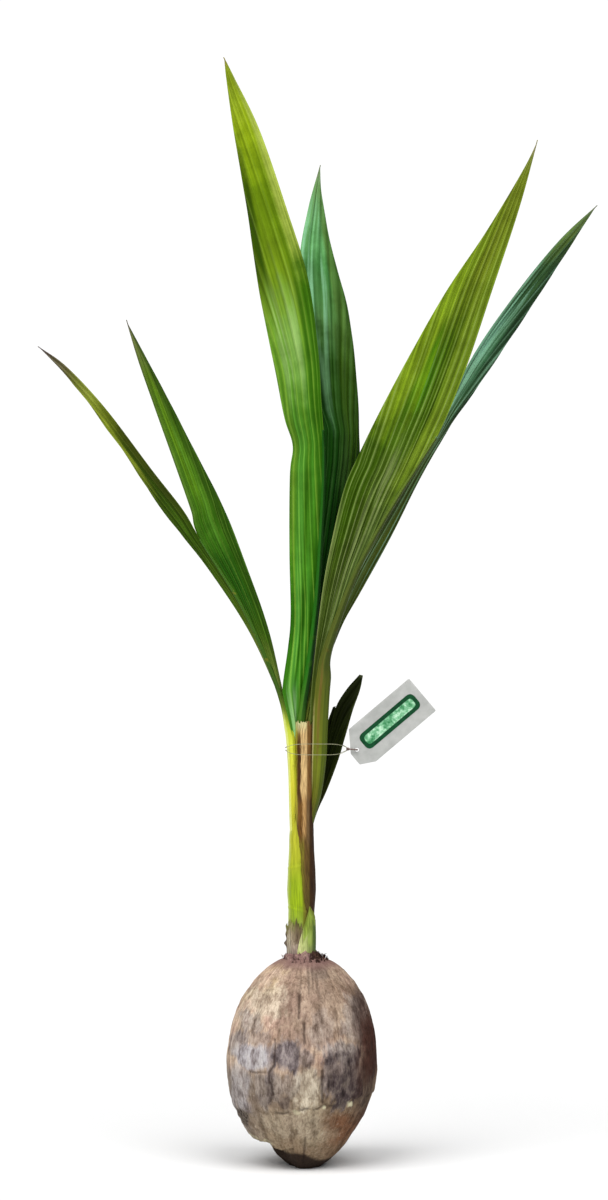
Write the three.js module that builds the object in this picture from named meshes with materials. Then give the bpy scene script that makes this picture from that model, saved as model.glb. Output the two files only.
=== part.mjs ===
// A coconut palm seedling that sprouts from its husked nut, in millimetres, with +Z up.
// The nut stands on a small flat at its pointed end, and the origin is the middle of that flat.
// From the front, which looks along +Y with +X to the right, three split leaves fan out on one short stem.
import * as THREE from "three";

// Gap that two pieces that touch keep between their faces
const GAP = 0.3;

// Nut: an egg on its pointed end, with soft ridges that make its section a rounded triangle
const NUT_WIDTH = 150;
const NUT_DEPTH = 142;
const NUT_HEIGHT = 212;
const NUT_WIDEST_Z = 106;
const NUT_FOOT_DROP = 6;
const NUT_POINTEDNESS = 0.3;
const NUT_RIDGE = 0.025;
const NUT_RIDGES = 3;
const NUT_RIDGE_ANGLE = 30;
const NUT_SIDES = 32;
const NUT_LEAN = 2.5;
// Rings over the nut, spaced evenly by the angle up from its middle
const NUT_RINGS = 15;
const NUT_LOWEST_TURN = -44;
const NUT_HIGHEST_TURN = 74;

// Broken husk, low on the nut's left: angles are from +X
const BREAK_TOP_Z = 30;
const BREAK_RINGS = [0, 7, 15, 23, BREAK_TOP_Z - 1, BREAK_TOP_Z];
const BREAK_DEPTH = 19;
const BREAK_FOOT_SHARE = 0.3;
const BREAK_FULL_Z = 14;
const BREAK_ANGLE = 200;
const BREAK_SPREAD = 62;

// Hole at the top of the nut, where the shoot comes out
const SOCKET_RADIUS = 13.4;
const SOCKET_RIM_RADIUS = 15.2;
const SOCKET_RIM_Z = 209;
const SOCKET_FLOOR_Z = 197;

// Torn husk round the shoot
const COLLAR_INNER_RADIUS = 15.2;
const COLLAR_FOOT_WIDTH = 5;
const COLLAR_WIDE_FOOT = 9;
const COLLAR_TOP_WIDTH = 1.6;
const COLLAR_LOW_Z = 212.5;
const COLLAR_HIGH_Z = 220;
const COLLAR_TEETH = 14;
// Height of its foot over the rounded top, whose facets bulge a little
const COLLAR_GAP = 0.5;
const COLLAR_TOOTH_STEPS = [0, 0.75, 0.3];

// Stem, from its foot in the nut to the fork
const STEM_X = -1;
const STEM_SIDES = 20;
const FORK_Z = 336;
const STEM_PROFILE = [
  [12.6, SOCKET_FLOOR_Z + GAP], [12.9, 214], [12.9, 240], [12.6, 256], [13.8, 276], [13, 296], [11.8, 316],
  [11.3, FORK_Z],
];

// Gap between a lobe and the midrib, measured from the midrib's widest section
const CLEARANCE = 0.62;

// Dead brown sheath: it wraps the stem's right side and rises to a point in front of the leaf stalks
const SHEATH_LEVELS = [
  { height: 262, centre: [-1, 0], radius: 14.6, from: -4, to: 104 },
  { height: 276, centre: [-1, 0], radius: 15.5, from: -5, to: 104 },
  { height: 296, centre: [-1, 0], radius: 14.7, from: -6, to: 104 },
  { height: 316, centre: [-1, 0], radius: 13.5, from: -7, to: 100 },
  { height: 327, centre: [-1, 0], radius: 13.4, from: -8, to: 92 },
  { height: 330, centre: [-1, 0], radius: 13.4, from: -9, to: 80 },
  { height: 334, centre: [-1, 0], radius: 13.4, from: -11, to: 64 },
  { height: 338, centre: [-1, 0], radius: 13.1, from: -14, to: 50 },
  { height: 347, centre: [-0.5, 0], radius: 12.2, from: -20, to: 42 },
  { height: 358, centre: [0.2, 0], radius: 11.3, from: -30, to: 41 },
  { height: 376, centre: [1.5, 0.3], radius: 9, from: -44, to: 60 },
  { height: 406, centre: [2, 1], radius: 8.1, from: -56, to: 66 },
  { height: 430, centre: [1.6, 0.6], radius: 8.6, from: -56, to: 82 },
  { height: 444, centre: [1.5, 0], radius: 8.6, from: -48, to: 80 },
];
const SHEATH_STEPS = 9;

// Thickness of the sheath and scales, and the scales' radius and foot
const WRAP_THICKNESS = 1.2;
const SCALE_RADIUS = 14.6;
const SCALE_FOOT_Z = 213;
const SCALE_STEPS = 10;

// Grey papery scale on the left: its top swells between two heights and is ragged, tooth by tooth
const PAPERY_TOP = { sideZ: 236, middleZ: 246, teeth: [0, 6, -3, 4, -6, 2, 5, -4, 3, -5, 1] };

// Green scale on the right: one point, at a share of its width from the front
const POINTED_TOP = { frontZ: 223, peakZ: 261, backZ: 226, peak: 0.25, hollow: 0.8 };

// Leaves: a blade is a share of its length thick, thinner where it is narrow, and thinnest at its edges
const LEAF_THICKNESS_RATIO = 1 / 98;
const LEAF_LEAST_THICKNESS = 2;
const LEAF_WIDTH_RATIO = 0.25;
const LEAF_EDGE = 1.2;
const LEAF_TIP_WIDTH = 1.4;
const PLEATS = 4;
const PLEAT_DEPTH = 1.1;
const PLEAT_WIDTH_RATIO = 0.04;
const STATIONS_ON_STALK = 8;
const STATIONS_PAST_NOTCH = 14;
const STALK_SIDES = 10;
const STALK_STATIONS = 26;

// Leaf, tag and thread places are as they show from the front, at this distance, height and side step
const VIEW_DISTANCE = 3600;
const VIEW_HEIGHT = 566;
const VIEW_X = 2;

// Each leaf has a stalk that runs up as the midrib to the notch, and two lobes
// Points are [x, depth, height], and a lobe's last rib point is its tip
const LEFT_LEAF = {
  stalk: [[-7.3, -2, 336], [-9.7, -1, 396], [-13.5, 1.5, 440], [-25, 8, 481], [-57, 22, 554], [-102, 42, 627]],
  widths: [4.3, 4.2, 4.5, 2.7, 1.8, 1.2],
  depths: [5.4, 5, 4.4, 2.7, 1.8, 1.2],
  start: 0.54,
};
const CENTRE_LEAF = {
  stalk: [
    [0.3, 5.8, 336], [0, 4.5, 396], [-1, 1, 444], [8, -3, 506], [15, -7, 566], [20, -11, 646],
    [22, -13.5, 700], [21, -15, 736],
  ],
  widths: [4.3, 4.6, 4.2, 3.6, 3, 2.4, 1.9, 1.3],
  depths: [4, 4.6, 4.2, 3.6, 3, 2.4, 1.9, 1.3],
  start: 0.3,
};
const RIGHT_LEAF = {
  stalk: [
    [5.5, -2.4, 336], [10.5, -0.8, 356], [14.6, -1.6, 376], [16.9, -4, 406], [18.8, -5, 456], [21.5, -7, 488],
    [25.3, -9, 516], [50, -20, 584], [71, -27, 626], [98, -36, 672], [134, -47, 728],
  ],
  widths: [4.3, 4.5, 5.3, 7.2, 7.8, 7.4, 5, 2.8, 2.4, 1.9, 1.3],
  depths: [4.4, 4, 4, 4.4, 4.6, 4.4, 3.6, 2.6, 2.3, 1.9, 1.3],
  start: 0.56,
};
const LOBES = {
  left_outer_lobe: {
    leaf: LEFT_LEAF,
    rib: [[-119, 48, 656], [-150, 58, 696], [-196, 72, 757], [-235, 85, 799], [-264, 92, 820]],
    free: [
      [-23, 9, 474], [-52.5, 34, 536], [-92, 61, 596], [-139, 74, 656], [-180.5, 84, 717], [-225, 90, 778],
    ],
    arch: 0.06,
  },
  left_inner_lobe: {
    leaf: LEFT_LEAF,
    rib: [[-111, 46, 656], [-125, 51, 696], [-146.5, 60, 756], [-164, 68, 806], [-176, 76, 846]],
    free: [
      [-19, 5, 474], [-33.5, 10, 536], [-54, 24, 596], [-77.5, 34, 656], [-107.5, 45, 716], [-138.5, 58, 776],
    ],
    arch: -0.06,
  },
  centre_left_lobe: {
    leaf: CENTRE_LEAF,
    rib: [
      [19, -20, 764], [16, -27, 815], [6, -38, 887], [-15, -48, 956], [-41, -56, 1036], [-68, -62, 1092],
      [-78, -64, 1109],
    ],
    free: [
      [-12.5, -4.5, 447], [-19.5, -2, 476], [-14.5, 2, 518], [-12.5, 2, 610], [-12, -2, 690], [-9.5, -5, 718],
      [-18, -9, 752], [-27, -14, 796], [-43, -26, 876], [-56, -42, 956], [-71, -54, 1036], [-79.5, -61, 1086],
    ],
    arch: 0.08,
  },
  centre_right_lobe: {
    leaf: CENTRE_LEAF,
    rib: [[13.5, -8, 773], [3, 20, 840], [-2, 52, 905], [6, 85, 956], [18, 120, 1001]],
    free: [
      [6, 3, 448], [14, 8, 474], [24, 12, 526], [42, 14, 606], [56, 12, 690], [57.5, 12, 736], [54, 22, 796],
      [46, 45, 856], [30, 75, 916], [20, 100, 970],
    ],
    arch: -0.08,
  },
  right_near_lobe: {
    leaf: RIGHT_LEAF,
    rib: [[163, -62, 796], [190.5, -76, 877], [217, -92, 957], [236, -110, 1026]],
    free: [
      [16, -9, 494], [28, -18, 576], [43, -26, 636], [52, -34, 680], [59, -40, 712], [78.5, -46, 756],
      [110.5, -58, 816], [145, -70, 876], [184.5, -84, 935], [220.5, -100, 995],
    ],
    arch: -0.08,
  },
  right_far_lobe: {
    leaf: RIGHT_LEAF,
    rib: [[147, -44, 761], [175, -40, 816], [217, -38, 876], [258, -40, 926], [295, -44, 961]],
    free: [
      [30, -5, 516], [42.5, 2, 546], [60, 8, 576], [92.5, 8, 636], [122.5, 2, 696], [145.5, -4, 736],
      [174, -10, 776], [214, -18, 836], [253, -28, 896],
    ],
    arch: 0.06,
  },
};

// The small first leaf, behind the right stalk, is two short blades side by side
const SMALL_LEAF = {
  rib: [
    [6.2, 4.8, 336], [10, 5.4, 356], [14, 6, 376], [20.5, 6.6, 406], [26, 7, 430], [33.5, 8, 458], [44, 9, 476],
    [57.5, 10, 491.5],
  ],
  free: [
    [9.4, 4.6, 336], [16, 5.4, 356], [25, 6, 376], [36, 6.6, 405], [43.5, 7, 430], [51, 8.4, 456], [58, 9.4, 476],
    [61, 10, 490.5],
  ],
  stations: 12,
  arch: 0.05,
};
const SMALL_LEAF_HALF = {
  rib: [[13, 7.6, 372], [19.8, 8.8, 402], [26, 9.6, 430], [32.5, 11, 459]],
  free: [[10.6, 8.8, 372], [15, 11, 402], [21, 12, 430], [30.8, 11.4, 459]],
  stations: 8,
  arch: 0.05,
};

// Tag: its end away from the hole, at x and height, and the level ends of its cut corner
const TAG_LENGTH = 93;
const TAG_WIDTH = 42;
const TAG_CUT_LENGTH = 14.5;
const TAG_END_FROM = -13;
const TAG_END_TO = 1;
const TAG_HOLE_INSET = 7.5;
const TAG_TILT = 40.2;
const TAG_END = [120.5, 471.5];
const TAG_THICKNESS = 1;
const TAG_DEPTH = -6;
const TAG_HOLE_RADIUS = 1.9;

// Two loops of thread that pass round the stalks, level at the sides, one lifted and one lowered between
const THREAD_RADIUS = 0.6;
const THREAD_SIDES = 6;
const THREAD_LOOP = { x: 14.3, y: 1.2, z: 417, halfWidth: 31, halfDepth: 12.4, squareness: 3.4, steps: 32 };
const THREAD_SIDE_LIFT = 1.1;
const THREAD_LIFT = 4.3;

// Twisted end of the thread, from the loops through the hole of the tag
const THREAD_END = [
  [45.9, -5.4, 417], [47, -7.9, 416.9], [49.8, -9.2, 416.6], [54.4, -8.8, 416.2], [55.6, -5, 416.3],
];
const THREAD_END_STEPS = 12;
const THREAD_END_RADIUS = 0.9;

const group = new THREE.Group();

function place([x, y, z]) {
  const spread = 1 + y / VIEW_DISTANCE;
  return new THREE.Vector3(VIEW_X + (x - VIEW_X) * spread, y, VIEW_HEIGHT + (z - VIEW_HEIGHT) * spread);
}

function degrees(angle) {
  return (angle * Math.PI) / 180;
}

function mix(a, b, share) {
  return a + (b - a) * share;
}

// Smooth curve through points, whose value t runs from 0 to 1 with equal steps between the points
function curveThrough(points) {
  return new THREE.CatmullRomCurve3(points, false, "catmullrom", 0.5);
}

function addPiece(name, geometry, colour, roughness = 0.7) {
  const finish = { color: colour, roughness, metalness: 0, flatShading: true };
  const mesh = new THREE.Mesh(geometry, new THREE.MeshStandardMaterial(finish));
  mesh.name = name;
  group.add(mesh);
}

function geometryFrom(points, triangles) {
  const geometry = new THREE.BufferGeometry();
  const values = points.flatMap((point) => [point.x, point.y, point.z]);
  geometry.setAttribute("position", new THREE.Float32BufferAttribute(values, 3));
  geometry.setIndex(triangles.flat());
  geometry.computeVertexNormals();
  return geometry;
}

// Closed solid through rings with equal numbers of points, each anticlockwise seen from ahead
function loft(rings, closedLoop = false) {
  const sides = rings[0].length;
  const points = rings.flat();
  const triangles = [];
  const ringCount = closedLoop ? rings.length : rings.length - 1;
  for (let ring = 0; ring < ringCount; ring += 1) {
    const low = ring * sides;
    const high = ((ring + 1) % rings.length) * sides;
    for (let side = 0; side < sides; side += 1) {
      const next = (side + 1) % sides;
      triangles.push([low + side, low + next, high + next], [low + side, high + next, high + side]);
    }
  }
  if (!closedLoop) {
    const last = (rings.length - 1) * sides;
    capRing(triangles, 0, sides, true);
    capRing(triangles, last, sides, false);
  }
  return geometryFrom(points, triangles);
}

// End face of a ring, in strips from its first point and its last one inwards
function capRing(triangles, first, sides, facesBack) {
  let a = 0;
  let b = sides - 1;
  while (b - a > 1) {
    const left = a + 1 < b ? [a, a + 1, b] : null;
    const right = a + 1 < b - 1 ? [a + 1, b - 1, b] : null;
    for (const corner of [left, right]) {
      if (!corner) continue;
      const [i, j, k] = corner.map((value) => first + value);
      triangles.push(facesBack ? [i, k, j] : [i, j, k]);
    }
    a += 1;
    b -= 1;
  }
}

// Tube with an oval section that tapers along a path, with level ends at its foot
function limb(points, widths, depths) {
  const curve = curveThrough(points);
  const rings = [];
  for (let i = 0; i <= STALK_STATIONS; i += 1) {
    const t = i / STALK_STATIONS;
    const centre = curve.getPoint(t);
    const ahead = i === 0 ? new THREE.Vector3(0, 0, 1) : curve.getTangent(t);
    if (i === 0) centre.z = FORK_Z + GAP;
    const across = new THREE.Vector3(0, 1, 0).cross(ahead).normalize();
    const away = new THREE.Vector3().crossVectors(ahead, across);
    const [width, depth] = [widths, depths].map((list) => listAt(list, t));
    const ring = [];
    for (let side = 0; side < STALK_SIDES; side += 1) {
      const angle = (side / STALK_SIDES) * 2 * Math.PI;
      ring.push(centre.clone()
        .addScaledVector(across, width * Math.cos(angle))
        .addScaledVector(away, depth * Math.sin(angle)));
    }
    rings.push(ring);
  }
  return loft(rings);
}

// Value at share t of a list whose values are spaced evenly
function listAt(list, t) {
  const position = t * (list.length - 1);
  const i = Math.min(Math.floor(position), list.length - 2);
  return mix(list[i], list[i + 1], position - i);
}

// Thin pleated blade between a rib edge and a free edge, given station by station from base to tip
function bladeBetween(ribs, frees, length, arch) {
  const count = ribs.length;
  const columns = 2 * PLEATS;
  const thickness = Math.max(length * LEAF_THICKNESS_RATIO, LEAF_LEAST_THICKNESS);
  const rings = [];
  for (let i = 0; i < count; i += 1) {
    const rib = ribs[i];
    const free = frees[i];
    const before = Math.max(i - 1, 0);
    const after = Math.min(i + 1, count - 1);
    const ahead = ribs[after].clone().add(frees[after]).sub(ribs[before]).sub(frees[before]);
    const chord = free.clone().sub(rib);
    const width = chord.length();
    const normal = new THREE.Vector3().crossVectors(ahead, chord).normalize();
    const half = Math.min(thickness, LEAF_EDGE + width * LEAF_WIDTH_RATIO) / 2;
    const pleat = Math.min(PLEAT_DEPTH, width * PLEAT_WIDTH_RATIO);
    const upper = [];
    const lower = [];
    for (let column = 0; column <= columns; column += 1) {
      const v = column / columns;
      const hump = 4 * v * (1 - v);
      const fold = (column % 2 ? pleat : -pleat) * Math.min(1, hump * 2);
      const rise = arch * width * hump + fold;
      const spread = mix(LEAF_EDGE / 2, half, Math.sqrt(hump));
      const middle = rib.clone().addScaledVector(chord, v);
      upper.push(middle.clone().addScaledVector(normal, rise + spread));
      lower.push(middle.clone().addScaledVector(normal, rise - spread));
    }
    rings.push([...upper.reverse(), ...lower]);
  }
  return loft(rings);
}

// One lobe of a leaf: its rib edge follows the stalk to the notch and then runs free to the tip
function lobe({ stalk, radii, start, rib, free, arch }) {
  const stalkCurve = curveThrough(stalk.map(place));
  const notchIndex = stalk.length - 1;
  const ribCurve = curveThrough([stalk[notchIndex - 1], stalk[notchIndex], ...rib].map(place));
  const notchShare = 1 / (rib.length + 1);
  const ribs = [];
  const clear = [];
  const heads = [];
  for (let i = 0; i <= STATIONS_ON_STALK; i += 1) {
    const t = mix(start, 1, i / STATIONS_ON_STALK);
    ribs.push(stalkCurve.getPoint(t));
    heads.push(stalkCurve.getTangent(t));
    clear.push(listAt(radii, t) + CLEARANCE);
  }
  for (let i = 1; i <= STATIONS_PAST_NOTCH; i += 1) {
    const share = i / STATIONS_PAST_NOTCH;
    const t = mix(notchShare, 1, share);
    ribs.push(ribCurve.getPoint(t));
    heads.push(ribCurve.getTangent(t));
    clear.push((radii[notchIndex] + CLEARANCE) * (1 - share));
  }
  const reach = [0];
  for (let i = 1; i < ribs.length; i += 1) reach.push(reach[i - 1] + ribs[i].distanceTo(ribs[i - 1]));
  const length = reach[reach.length - 1];
  const freeCurve = curveThrough([...free, rib[rib.length - 1]].map(place));
  const frees = reach.map((distance) => freeCurve.getPointAt(distance / length));
  // Across the leaf at each station, or nothing where the two edges are too close to tell
  const sides = ribs.map((point, i) => {
    const chord = frees[i].clone().sub(point);
    chord.addScaledVector(heads[i], -chord.dot(heads[i]));
    return chord.length() > clear[i] + LEAF_LEAST_THICKNESS ? chord.normalize() : null;
  });
  let side = sides.find((direction) => direction);
  for (let i = 0; i < ribs.length; i += 1) {
    side = sides[i] ?? side;
    ribs[i].addScaledVector(side, clear[i]);
    const width = frees[i].clone().sub(ribs[i]).dot(side);
    if (width < LEAF_TIP_WIDTH) frees[i].copy(ribs[i]).addScaledVector(side, LEAF_TIP_WIDTH);
  }
  return bladeBetween(ribs, frees, length, arch);
}

// Blade with no stalk, between two edges that meet at its tip
function looseBlade({ rib, free, stations, arch }) {
  const ribCurve = curveThrough(rib.map(place));
  const freeCurve = curveThrough(free.map(place));
  const ribs = [];
  const frees = [];
  for (let i = 0; i <= stations; i += 1) {
    const ribPoint = ribCurve.getPointAt(i / stations);
    const freePoint = freeCurve.getPointAt(i / stations);
    const width = freePoint.distanceTo(ribPoint);
    if (width < LEAF_TIP_WIDTH) freePoint.copy(ribPoint).add(new THREE.Vector3(LEAF_TIP_WIDTH, 0, 0));
    ribs.push(ribPoint);
    frees.push(freePoint);
  }
  // The foot stands clear of the stem's top
  for (const point of [ribs[0], frees[0]]) point.z = Math.max(point.z, FORK_Z + 2 * GAP);
  return bladeBetween(ribs, frees, ribCurve.getLength(), arch);
}

// Shell that wraps the stem, from levels of height, centre, radius and the angles it runs between
// Angles are from the front and grow towards +X, and a height may change with the share of that run
function wrap(levels, thickness, steps) {
  const rings = levels.map(({ height, centre, radius, from, to }) => {
    const outer = [];
    const inner = [];
    for (let i = 0; i <= steps; i += 1) {
      const share = i / steps;
      const angle = degrees(mix(from, to, share));
      const z = typeof height === "function" ? height(share) : height;
      const away = new THREE.Vector3(Math.sin(angle), -Math.cos(angle), 0);
      const middle = new THREE.Vector3(centre[0], centre[1], z);
      outer.push(middle.clone().addScaledVector(away, radius));
      inner.push(middle.clone().addScaledVector(away, radius - thickness));
    }
    return [...outer, ...inner.reverse()];
  });
  return loft(rings);
}

// Half width of the nut at a height, as a share of its widest
function nutShare(z) {
  const rising = z > NUT_WIDEST_Z;
  const reach = rising ? NUT_HEIGHT - NUT_WIDEST_Z : NUT_WIDEST_Z + NUT_FOOT_DROP;
  const u = Math.abs(z - NUT_WIDEST_Z) / reach;
  const pinch = rising ? 0 : NUT_POINTEDNESS * u ** 3;
  return Math.sqrt(Math.max(1 - u * u, 0)) * (1 - pinch);
}

// Sideways shift of the nut's middle at a height: to the right above its widest, and to the left below
function nutLean(z) {
  const above = z / NUT_WIDEST_Z - 1;
  return NUT_LEAN * above * (above > 0 ? 1 : z / NUT_WIDEST_Z);
}

// Depth of broken husk at an angle and a height
function nutBreak(angle, z) {
  if (z >= BREAK_TOP_Z) return 0;
  const turn = ((((angle * 180) / Math.PI - BREAK_ANGLE + 540) % 360) - 180) / BREAK_SPREAD;
  const off = Math.min(Math.abs(turn), 1);
  return BREAK_DEPTH * (1 - off * off) * mix(BREAK_FOOT_SHARE, 1, Math.min(1, z / BREAK_FULL_Z));
}

function nutRing(z) {
  const share = nutShare(z);
  const ring = [];
  for (let side = 0; side < NUT_SIDES; side += 1) {
    const angle = (side / NUT_SIDES) * 2 * Math.PI;
    const ridge = 1 + NUT_RIDGE * Math.cos(NUT_RIDGES * (angle - degrees(NUT_RIDGE_ANGLE)));
    const width = (NUT_WIDTH / 2) * share * ridge;
    const depth = (NUT_DEPTH / 2) * share * ridge;
    const left = 1 - nutBreak(angle, z) / width;
    const x = nutLean(z) + width * left * Math.cos(angle);
    ring.push(new THREE.Vector3(x, depth * left * Math.sin(angle), z));
  }
  return ring;
}

// Level ring round the shoot's axis
function ringRound(radius, z, sides) {
  const ring = [];
  for (let side = 0; side < sides; side += 1) {
    const angle = (side / sides) * 2 * Math.PI;
    ring.push(new THREE.Vector3(STEM_X + radius * Math.cos(angle), radius * Math.sin(angle), z));
  }
  return ring;
}

function nutHusk() {
  const heights = [...BREAK_RINGS];
  for (let i = 1; i <= NUT_RINGS; i += 1) {
    const turn = degrees(mix(NUT_LOWEST_TURN, NUT_HIGHEST_TURN, i / NUT_RINGS));
    heights.push(NUT_WIDEST_Z + (NUT_HEIGHT - NUT_WIDEST_Z) * Math.sin(turn));
  }
  const rings = heights.map(nutRing);
  rings.push(ringRound(SOCKET_RIM_RADIUS, SOCKET_RIM_Z, NUT_SIDES));
  rings.push(ringRound(SOCKET_RADIUS, SOCKET_RIM_Z - 1, NUT_SIDES));
  rings.push(ringRound(SOCKET_RADIUS, SOCKET_FLOOR_Z, NUT_SIDES));
  return loft(rings);
}

// Torn husk that stands up round the foot of the shoot, highest and widest on the right
function huskCollar() {
  const sections = [];
  const count = COLLAR_TOOTH_STEPS.length * COLLAR_TEETH;
  for (let i = 0; i < count; i += 1) {
    const angle = (i / count) * 2 * Math.PI;
    const rightness = 0.5 + 0.5 * Math.cos(angle + 0.3);
    const tooth = COLLAR_TOOTH_STEPS[i % COLLAR_TOOTH_STEPS.length] * (0.6 + 0.4 * Math.sin(i * 2.3));
    const top = mix(COLLAR_LOW_Z, COLLAR_HIGH_Z, rightness * (0.45 + 0.55 * tooth));
    const foot = COLLAR_INNER_RADIUS + mix(COLLAR_FOOT_WIDTH, COLLAR_WIDE_FOOT, rightness);
    // From the inner wall over the top and down to the foot, and back along the nut
    const corners = [
      [COLLAR_INNER_RADIUS, null],
      [COLLAR_INNER_RADIUS, top],
      [COLLAR_INNER_RADIUS + COLLAR_TOP_WIDTH, top],
      [foot, null],
      [(COLLAR_INNER_RADIUS + foot) / 2, null],
    ];
    sections.push(corners.map(([radius, z]) => {
      const [x, y] = [STEM_X + radius * Math.cos(angle), radius * Math.sin(angle)];
      return new THREE.Vector3(x, y, z ?? domeHeight(x, y));
    }));
  }
  return loft(sections, true);
}

// Height just clear of the nut's top at a place
function domeHeight(x, y) {
  const across = ((x - NUT_LEAN) * 2) / (NUT_WIDTH * (1 + NUT_RIDGE));
  const deep = (y * 2) / (NUT_DEPTH * (1 + NUT_RIDGE));
  return NUT_WIDEST_Z + (NUT_HEIGHT - NUT_WIDEST_Z) * Math.sqrt(1 - across ** 2 - deep ** 2) + COLLAR_GAP;
}

function stem() {
  return loft(STEM_PROFILE.map(([radius, z]) => ringRound(radius, z, STEM_SIDES)));
}

// Height of the papery scale's ragged top at a share of its width
function paperyTop(share) {
  const { sideZ, middleZ, teeth } = PAPERY_TOP;
  return mix(sideZ, middleZ, Math.sin(share * Math.PI)) + teeth[Math.round(share * (teeth.length - 1))];
}

// Height of the green scale's top at a share of its width
function pointedTop(share) {
  const { frontZ, peakZ, backZ, peak, hollow } = POINTED_TOP;
  if (share < peak) return mix(frontZ, peakZ, share / peak);
  return mix(backZ, peakZ, (1 - (share - peak) / (1 - peak)) ** hollow);
}

function scale(top, from, to) {
  const levels = [0, 0.5, 1].map((share) => ({
    height: (turn) => mix(SCALE_FOOT_Z, top(turn), share),
    centre: [STEM_X, 0],
    radius: SCALE_RADIUS,
    from,
    to,
  }));
  return wrap(levels, WRAP_THICKNESS, SCALE_STEPS);
}

// Plain tag, hung by two threads that pass round the stalks
function tag() {
  const half = TAG_WIDTH / 2;
  const shoulder = TAG_CUT_LENGTH - TAG_LENGTH;
  const outline = new THREE.Shape([
    new THREE.Vector2(0, -half),
    new THREE.Vector2(0, half),
    new THREE.Vector2(shoulder, half),
    new THREE.Vector2(-TAG_LENGTH, TAG_END_TO),
    new THREE.Vector2(-TAG_LENGTH, TAG_END_FROM),
    new THREE.Vector2(shoulder, -half),
  ]);
  const hole = new THREE.Path();
  hole.absarc(TAG_HOLE_INSET - TAG_LENGTH, 0, TAG_HOLE_RADIUS, 0, 2 * Math.PI, true);
  outline.holes.push(hole);
  const settings = { depth: TAG_THICKNESS, bevelEnabled: false, curveSegments: 4 };
  const geometry = new THREE.ExtrudeGeometry(outline, settings);
  geometry.rotateZ(degrees(TAG_TILT));
  geometry.rotateX(degrees(90));
  const end = place([TAG_END[0], TAG_DEPTH, TAG_END[1]]);
  geometry.translate(end.x, end.y, end.z);
  return geometry;
}

// Closed loop of thread: direction 1 for the upper one and -1 for the lower one
function threadLoop(direction) {
  const { x, y, z, halfWidth, halfDepth, squareness, steps } = THREAD_LOOP;
  const rounded = (value) => Math.sign(value) * Math.abs(value) ** (2 / squareness);
  const path = [];
  for (let i = 0; i < steps; i += 1) {
    const angle = (i / steps) * 2 * Math.PI;
    const [c, s] = [Math.cos(angle), Math.sin(angle)];
    const lift = THREAD_SIDE_LIFT + THREAD_LIFT * (1 - Math.abs(c) ** 3);
    path.push(new THREE.Vector3(x + halfWidth * rounded(c), y + halfDepth * rounded(s), z + direction * lift));
  }
  const rings = path.map((point, i) => {
    const ahead = path[(i + 1) % steps].clone().sub(path[(i + steps - 1) % steps]).normalize();
    return threadRing(point, ahead, THREAD_RADIUS);
  });
  return loft(rings, true);
}

function threadRing(point, ahead, radius) {
  const across = new THREE.Vector3(0, 0, 1).cross(ahead).normalize();
  const away = new THREE.Vector3().crossVectors(ahead, across);
  const ring = [];
  for (let side = 0; side < THREAD_SIDES; side += 1) {
    const angle = (side / THREAD_SIDES) * 2 * Math.PI;
    ring.push(point.clone()
      .addScaledVector(across, radius * Math.cos(angle))
      .addScaledVector(away, radius * Math.sin(angle)));
  }
  return ring;
}

function threadEnd() {
  const curve = curveThrough(THREAD_END.map(place));
  const rings = [];
  for (let i = 0; i <= THREAD_END_STEPS; i += 1) {
    const t = i / THREAD_END_STEPS;
    rings.push(threadRing(curve.getPoint(t), curve.getTangent(t), THREAD_END_RADIUS));
  }
  return loft(rings);
}

addPiece("nut_husk", nutHusk(), 0xa98e72, 0.9);
addPiece("husk_collar", huskCollar(), 0x4a3428, 0.95);
addPiece("stem", stem(), 0x9fb022, 0.5);
addPiece("brown_sheath", wrap(SHEATH_LEVELS, WRAP_THICKNESS, SHEATH_STEPS), 0x6b4a26, 0.7);
addPiece("papery_scale", scale(paperyTop, -160, -5), 0xa39884, 0.9);
addPiece("green_scale", scale(pointedTop, 0, 150), 0x96aa50, 0.6);

const leaves = { left_leaf_stalk: LEFT_LEAF, centre_leaf_stalk: CENTRE_LEAF, right_leaf_stalk: RIGHT_LEAF };
for (const [name, leaf] of Object.entries(leaves)) {
  addPiece(name, limb(leaf.stalk.map(place), leaf.widths, leaf.depths), 0xb4b830, 0.5);
}
for (const [name, { leaf, rib, free, arch }] of Object.entries(LOBES)) {
  const { stalk, widths, start } = leaf;
  addPiece(name, lobe({ stalk, radii: widths, start, rib, free, arch }), 0x4a8a1c, 0.4);
}
addPiece("small_leaf", looseBlade(SMALL_LEAF), 0x1c2a0a, 0.5);
addPiece("small_leaf_half", looseBlade(SMALL_LEAF_HALF), 0x2c3a12, 0.5);
addPiece("tag", tag(), 0xcdd0cd, 0.5);
addPiece("thread_upper", threadLoop(1), 0x8a8478, 0.8);
addPiece("thread_lower", threadLoop(-1), 0x8a8478, 0.8);
addPiece("thread_end", threadEnd(), 0x4a3a34, 0.8);

export default group;
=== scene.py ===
"""A coconut palm seedling that grows out of its husked nut.

The stem, leaves, nut and tag repeat the part's rules with finer meshes. Points and sizes are in millimetres,
as in the part's source, and become metres when a mesh is made. Places and sizes in the materials are in
metres, and colours are screen colours from 0 to 255.
"""

import itertools
import math

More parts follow.
